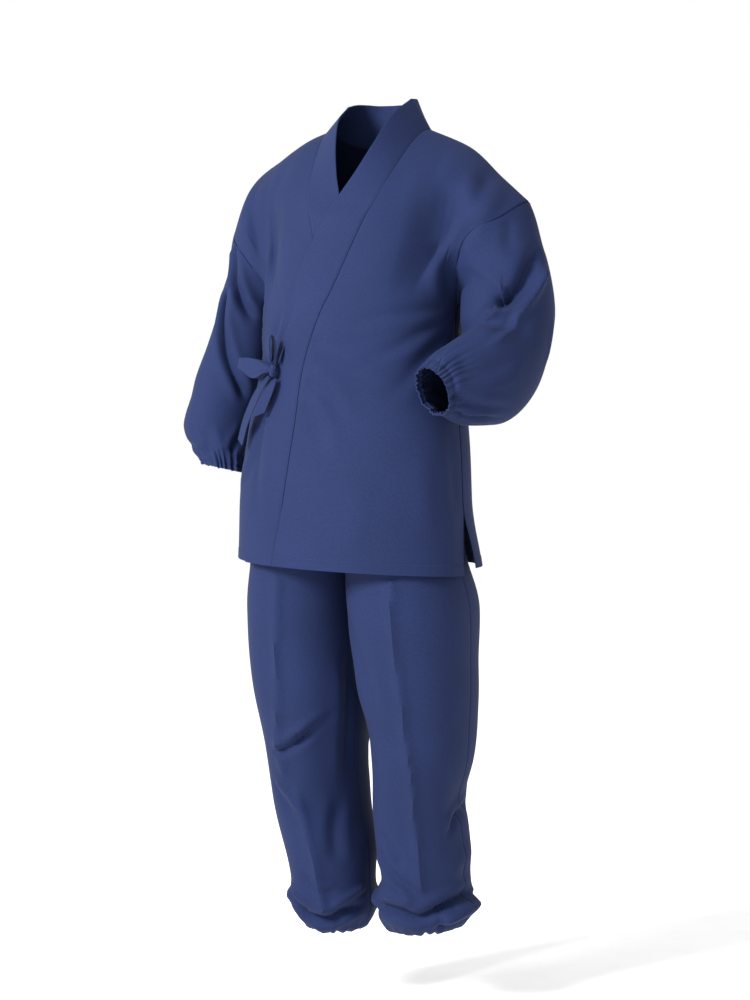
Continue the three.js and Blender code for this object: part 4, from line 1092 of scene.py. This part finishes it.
def add_loop(name, material):
    root, tip, across, belly, wide = LOOPS[name]
    root, along, across = np.array(root, float), np.subtract(tip, root).astype(float), np.array(across, float)
    width = unit(across - along * across.dot(along) / along.dot(along))
    off = unit(np.cross(along, width))
    angle = around(LOOP_ROWS)
    out = (1 - np.cos(angle)) / 2
    bulge = belly * np.sin(angle) * (0.7 + 0.3 * out)
    # Narrow at the knot, fullest before the middle where it sags, and drawn in at the turned tip.
    full = 0.42 + 0.68 * smooth(0, 0.38, out) - 0.5 * smooth(0.45, 1.0, out)
    sag = -0.17 * wide * bell(out - 0.4, 0.25)
    columns = eased(TAPE_COLUMNS, 0.5) - 0.5
    line = root + out[:, None] * along + bulge[:, None] * off + sag[:, None] * width
    grid = line[None, :, :] + columns[:, None, None] * (wide * full)[None, :, None] * width
    crease = 0.8 * np.cos(columns * 2 * TURN)[:, None] * (1 - smooth(0.1, 0.6, out))[None, :]
    sign = np.sign(np.sin(angle) + 1e-6)
    grid = grid + (crease * sign)[..., None] * off
    like = np.broadcast_to((sign[:, None] * off)[None], grid.shape) + 0.2 * unit(along)
    return add_tape(name, grid, like, material, tube=True)


def add_knot(material):
    middle, half = (np.array(row, float) for row in KNOT)
    tilt = np.linspace(0.06, math.pi - 0.06, KNOT_ROWS)
    turn, height = np.broadcast_arrays(around(KNOT_COLUMNS)[None, :], tilt[:, None])
    # The wrap that crosses the knot, and the tucks beside it.
    wrap = np.cos(3 * turn + 2.2 * height) * np.sin(height)
    tuck = bell(height - 1.2 - 0.35 * np.cos(turn), 0.16)
    tuck = tuck + bell(height - 2.05 - 0.3 * np.cos(turn + 0.6), 0.14)
    size = 1 + 0.07 * wrap - 0.14 * tuck
    ball = np.stack([np.sin(height) * np.cos(turn), np.sin(height) * np.sin(turn), np.cos(height)], -1)
    grid = middle + half * size[..., None] * ball
    normals = turned(grid, grid - middle, tube=True)
    return add_panel("tie_knot", grid - normals * (TAPE / 2), normals, TAPE, material, tube=True)


# ---------------------------------------------------------------- stitching
def add_stitches(name, paths, sizes, material):
    """Lockstitch thread: one small bar for each stitch along lines of points with normals."""
    pitch = sizes.stitch / MM
    bars = []
    for line, normals in paths:
        run = run_of(line)
        starts = np.arange(pitch / 2, run[-1] - pitch, pitch)
        at = lambda d, table: np.stack([np.interp(d, run, table[:, k]) for k in range(3)], -1)
        a, b, n = at(starts, line), at(starts + pitch - STITCH_GAP, line), unit(at(starts, normals))
        side = unit(np.cross(n, b - a)) * THREAD_HALF
        low, high = -0.25 * n, 0.3 * n
        base = [a - side + low, a + side + low, b + side + low, b - side + low]
        side = side * 0.6
        bars.append(np.stack(base + [a - side + high, a + side + high, b + side + high, b - side + high], 1))
    bars = np.concatenate(bars)
    sides = np.array([[4, 5, 6, 7], [3, 2, 1, 0], [0, 1, 5, 4], [1, 2, 6, 5], [2, 3, 7, 6], [3, 0, 4, 7]])
    faces = (sides[None] + (np.arange(len(bars)) * 8)[:, None, None]).reshape(-1, 4)
    points = bars.reshape(-1, 3)
    return add_mesh(name, points, faces, points[:, :2], faces, material, sharp=180.0)


def line_beside_last_row(name, distance, closed=False):
    """A line on a piece's outer face, a given distance in from its last row, such as its hem."""
    grid, normals, _ = GRIDS[name]
    down = np.linalg.norm(grid - grid[-1:], axis=2)
    picked = np.abs(down - distance).argmin(0)
    columns = np.arange(grid.shape[1])
    if closed:
        columns = np.append(columns, 0)
        picked = np.append(picked, picked[0])
    return grid[picked, columns], normals[picked, columns]


def line_beside_edge(name, distance, last, start=-1e9, end=1e9):
    """A line on a piece's outer face, a given distance in from its first or last column, down some rows."""
    grid, normals, numbers = GRIDS[name]
    if last:
        grid, normals = grid[:, ::-1], normals[:, ::-1]
    picked = np.abs(edge_distance(grid, True, False) - distance).argmin(1)
    rows = np.arange(len(grid))
    if numbers is not None:
        rows = rows[(numbers >= start) & (numbers <= end)]
    return grid[rows, picked[rows]], normals[rows, picked[rows]]


def line_over(name, corners):
    """A line on a piece's outer face through corners given across and up, as seen from the front."""
    places, facing = (table.reshape(-1, 3) for table in GRIDS[name][:2])
    corners = np.array(corners, float)
    ends = run_of(corners)
    along = np.arange(0, ends[-1], 1.0)
    across, up = (np.interp(along, ends, corners[:, k]) for k in (0, 1))
    lean = 0.5 * places[:, 1]
    picked = [(np.hypot(places[:, 0] - x, places[:, 2] - z) + lean).argmin() for x, z in zip(across, up)]
    return np.stack([across, places[picked, 1], up], 1), facing[picked]


def jacket_stitch_lines(hem):
    """The hems, slits' edges, armhole edges, the band's seam, the lead's box and the cuffs' casings."""
    lines = []
    for name, edges in (("front_left", (True,)), ("front_right", (True,)), ("back", (True, False))):
        lines.append(line_beside_last_row(name, hem))
        for last in edges:
            lines.append(line_beside_edge(name, SLIT_STITCH, last, SLIT))
            lines.append(line_beside_edge(name, SEAM_STITCH, last, 0, UNDERARM))
    lines.append(line_beside_edge("collar_band", SEAM_STITCH, False))
    lines.append(line_over("collar_band", LEAD_BOX))
    lines += [line_beside_last_row(f"sleeve_{side}", CUFF_STITCH, closed=True) for side in SIDES]
    return lines


def trousers_stitch_lines():
    """The ankles' casings and the side seams."""
    lines = []
    for side in SIDES:
        lines += [line_beside_last_row(f"trousers_{face}_{side}", ANKLE_STITCH) for face in FACES]
        lines.append(line_beside_edge(f"trousers_back_{side}", SEAM_STITCH, True, 0.2, LEG_END))
    return lines


# ---------------------------------------------------------------- the add-on
class SamueSizes(bpy.types.PropertyGroup):
    cloth: bpy.props.FloatProperty(
        name="Cloth", description="Thickness of one layer of cloth", default=1.2 * MM, unit="LENGTH"
    )
    hem: bpy.props.FloatProperty(
        name="Hem", description="Height of the jacket's turned-up hem", default=17 * MM, unit="LENGTH"
    )
    rib: bpy.props.FloatProperty(
        name="Twill rib", description="Distance between its drawn ribs", default=2.4 * MM, unit="LENGTH"
    )
    stitch: bpy.props.FloatProperty(
        name="Stitch", description="Length of one stitch with its gap", default=4 * MM, unit="LENGTH"
    )
    floor: bpy.props.FloatProperty(
        name="Floor", description="Height of the floor under the soles", default=-1.42, unit="LENGTH"
    )
    colour: bpy.props.FloatVectorProperty(
        name="Navy", description="Colour of the raised threads", subtype="COLOR", size=3,
        default=hex_colour("#142147")[:3],
    )
    shade: bpy.props.FloatVectorProperty(
        name="Deep navy", description="Colour between the threads", subtype="COLOR", size=3,
        default=hex_colour("#0e1937")[:3],
    )
    thread: bpy.props.FloatVectorProperty(
        name="Thread", description="Colour of the sewing thread", subtype="COLOR", size=3,
        default=hex_colour("#1d2a54")[:3],
    )


class SAMUE_OT_jacket_body(bpy.types.Operator):
    """Adds the jacket's two fronts and its back."""

    bl_idname = "samue.jacket_body"
    bl_label = "Jacket body"

    def execute(self, context):
        sizes = context.scene.samue
        material = cloth_material(sizes)
        for side in SIDES:
            piece = add_front(side, sizes, material)
            area_of(piece)
        piece = add_back(sizes, material)
        area_of(piece)
        return {"FINISHED"}


class SAMUE_OT_sleeves(bpy.types.Operator):
    """Adds the two sleeves with their elastic cuffs."""

    bl_idname = "samue.sleeves"
    bl_label = "Sleeves"

    def execute(self, context):
        sizes = context.scene.samue
        for side in SIDES:
            piece = add_sleeve(side, sizes, cloth_material(sizes))
            area_of(piece)
        return {"FINISHED"}


class SAMUE_OT_collar(bpy.types.Operator):
    """Adds the collar band that runs from one front hem round the neck to the other."""

    bl_idname = "samue.collar"
    bl_label = "Collar band"

    def execute(self, context):
        piece = add_band(cloth_material(context.scene.samue))
        area_of(piece)
        return {"FINISHED"}


class SAMUE_OT_trousers(bpy.types.Operator):
    """Adds the four trouser panels and the waistband."""

    bl_idname = "samue.trousers"
    bl_label = "Trousers"

    def execute(self, context):
        sizes = context.scene.samue
        material = cloth_material(sizes)
        for side in SIDES:
            for face in FACES:
                piece = add_leg_panel(side, face, sizes, material)
                area_of(piece)
        piece = add_waistband(material)
        area_of(piece)
        return {"FINISHED"}


class SAMUE_OT_ties(bpy.types.Operator):
    """Adds the side bow: its knot, two loops, two tails and the two ties that lead to it."""

    bl_idname = "samue.ties"
    bl_label = "Ties"

    def execute(self, context):
        material = cloth_material(context.scene.samue)
        add_knot(material)
        for name in TAPES:
            piece = add_flat_tie(name, material)
            flat_size(piece)
            area_of(piece)
        piece = add_side_lead(material)
        flat_size(piece)
        area_of(piece)
        for name in LOOPS:
            piece = add_loop(name, material)
            flat_size(piece)
            area_of(piece)
        return {"FINISHED"}


def area_of(piece):
    """The flat area of a shell: half of its surface."""
    mesh = piece.data
    areas = np.zeros(len(mesh.polygons))
    mesh.polygons.foreach_get("area", areas)
    return float(areas.sum() / 2)


def flat_size(piece):
    """The width and length of a shell's flat cloth, from its places on the cut."""
    layer = piece.data.uv_layers["cut"].data
    places = np.zeros(2 * len(layer))
    layer.foreach_get("uv", places)
    width, length = (max(float(side), 0.012) for side in places.reshape(-1, 2).max(0))
    room = max(1.0, 1.01 * area_of(piece) / (width * length))
    return width * room, length


class SAMUE_OT_stitching(bpy.types.Operator):
    """Adds the lines of lockstitch along hems, slits, casings and seams."""

    bl_idname = "samue.stitching"
    bl_label = "Stitching"

    def execute(self, context):
        sizes = context.scene.samue
        thread = plain("navy_polyester_thread", to_hex(sizes.thread), 0.6)
        add_stitches("jacket_stitches", jacket_stitch_lines(sizes.hem / MM), sizes, thread)
        add_stitches("trousers_stitches", trousers_stitch_lines(), sizes, thread)
        return {"FINISHED"}


class SAMUE_OT_stage(bpy.types.Operator):
    """Adds the floor, the soft studio light and the camera."""

    bl_idname = "samue.stage"
    bl_label = "Stage"

    def execute(self, context):
        scene = context.scene
        turn = math.radians(CAMERA_TURN)
        right = Vector((math.cos(turn), math.sin(turn), 0))
        away = Vector((math.sin(turn), -math.cos(turn), 0))
        aim = Vector((0, 0, AIM_HEIGHT))

        def put(name, data, place, aimed=True):
            holder = bpy.data.objects.new(name, data)
            holder.location = place
            if aimed:
                holder.rotation_euler = (aim - holder.location).to_track_quat("-Z", "Y").to_euler()
            scene.collection.objects.link(holder)
            return holder

        mesh = bpy.data.meshes.new("floor")
        corners = [(x * FLOOR_REACH, y * FLOOR_REACH, 0) for x, y in ((-1, -1), (1, -1), (1, 1), (-1, 1))]
        mesh.from_pydata(corners, [], [(0, 1, 2, 3)])
        mesh.materials.append(plain("white_studio_floor", "#ffffff", 0.9))
        put("floor", mesh, (0, 0, scene.samue.floor), aimed=False)

        world = bpy.data.worlds.new("studio")
        scene.world = world
        world.use_nodes = True
        tree = world.node_tree
        tree.nodes.clear()
        sky = add_node(tree, "ShaderNodeBackground", {"Color": hex_colour("#ffffff"), "Strength": 1.0})
        add_node(tree, "ShaderNodeOutputWorld", {"Surface": sky.outputs[0]})

        for name, sideways, near, up, size, power in LAMPS:
            light = bpy.data.lights.new(name, "AREA")
            light.shape, light.size, light.energy = "SQUARE", size, power
            put(name, light, aim + right * sideways + away * near + Vector((0, 0, up)))

        camera = bpy.data.cameras.new("camera")
        camera.sensor_fit, camera.sensor_height, camera.lens = "VERTICAL", 36.0, CAMERA_LENS
        scene.camera = put("camera", camera, away * CAMERA_DISTANCE + Vector((0, 0, CAMERA_HEIGHT)))
        scene.view_settings.view_transform = "Standard"
        return {"FINISHED"}


class SAMUE_PT_panel(bpy.types.Panel):
    """The samue's sizes, colours and pieces."""

    bl_idname = "SAMUE_PT_panel"
    bl_label = "Samue"
    bl_space_type = "VIEW_3D"
    bl_region_type = "UI"
    bl_category = "Samue"

    def draw(self, context):
        for name in SamueSizes.__annotations__:
            self.layout.prop(context.scene.samue, name)
        for kind in OPERATORS:
            self.layout.operator(kind.bl_idname)


OPERATORS = (
    SAMUE_OT_jacket_body,
    SAMUE_OT_sleeves,
    SAMUE_OT_collar,
    SAMUE_OT_trousers,
    SAMUE_OT_ties,
    SAMUE_OT_stitching,
    SAMUE_OT_stage,
)
CLASSES = (SamueSizes, *OPERATORS, SAMUE_PT_panel)


def register():
    for kind in CLASSES:
        bpy.utils.register_class(kind)
    bpy.types.Scene.samue = bpy.props.PointerProperty(type=SamueSizes)


def unregister():
    del bpy.types.Scene.samue
    for kind in reversed(CLASSES):
        bpy.utils.unregister_class(kind)


def main():
    register()
    for kind in OPERATORS:
        group, name = kind.bl_idname.split(".")
        getattr(getattr(bpy.ops, group), name)()


if __name__ == "__main__":
    main()
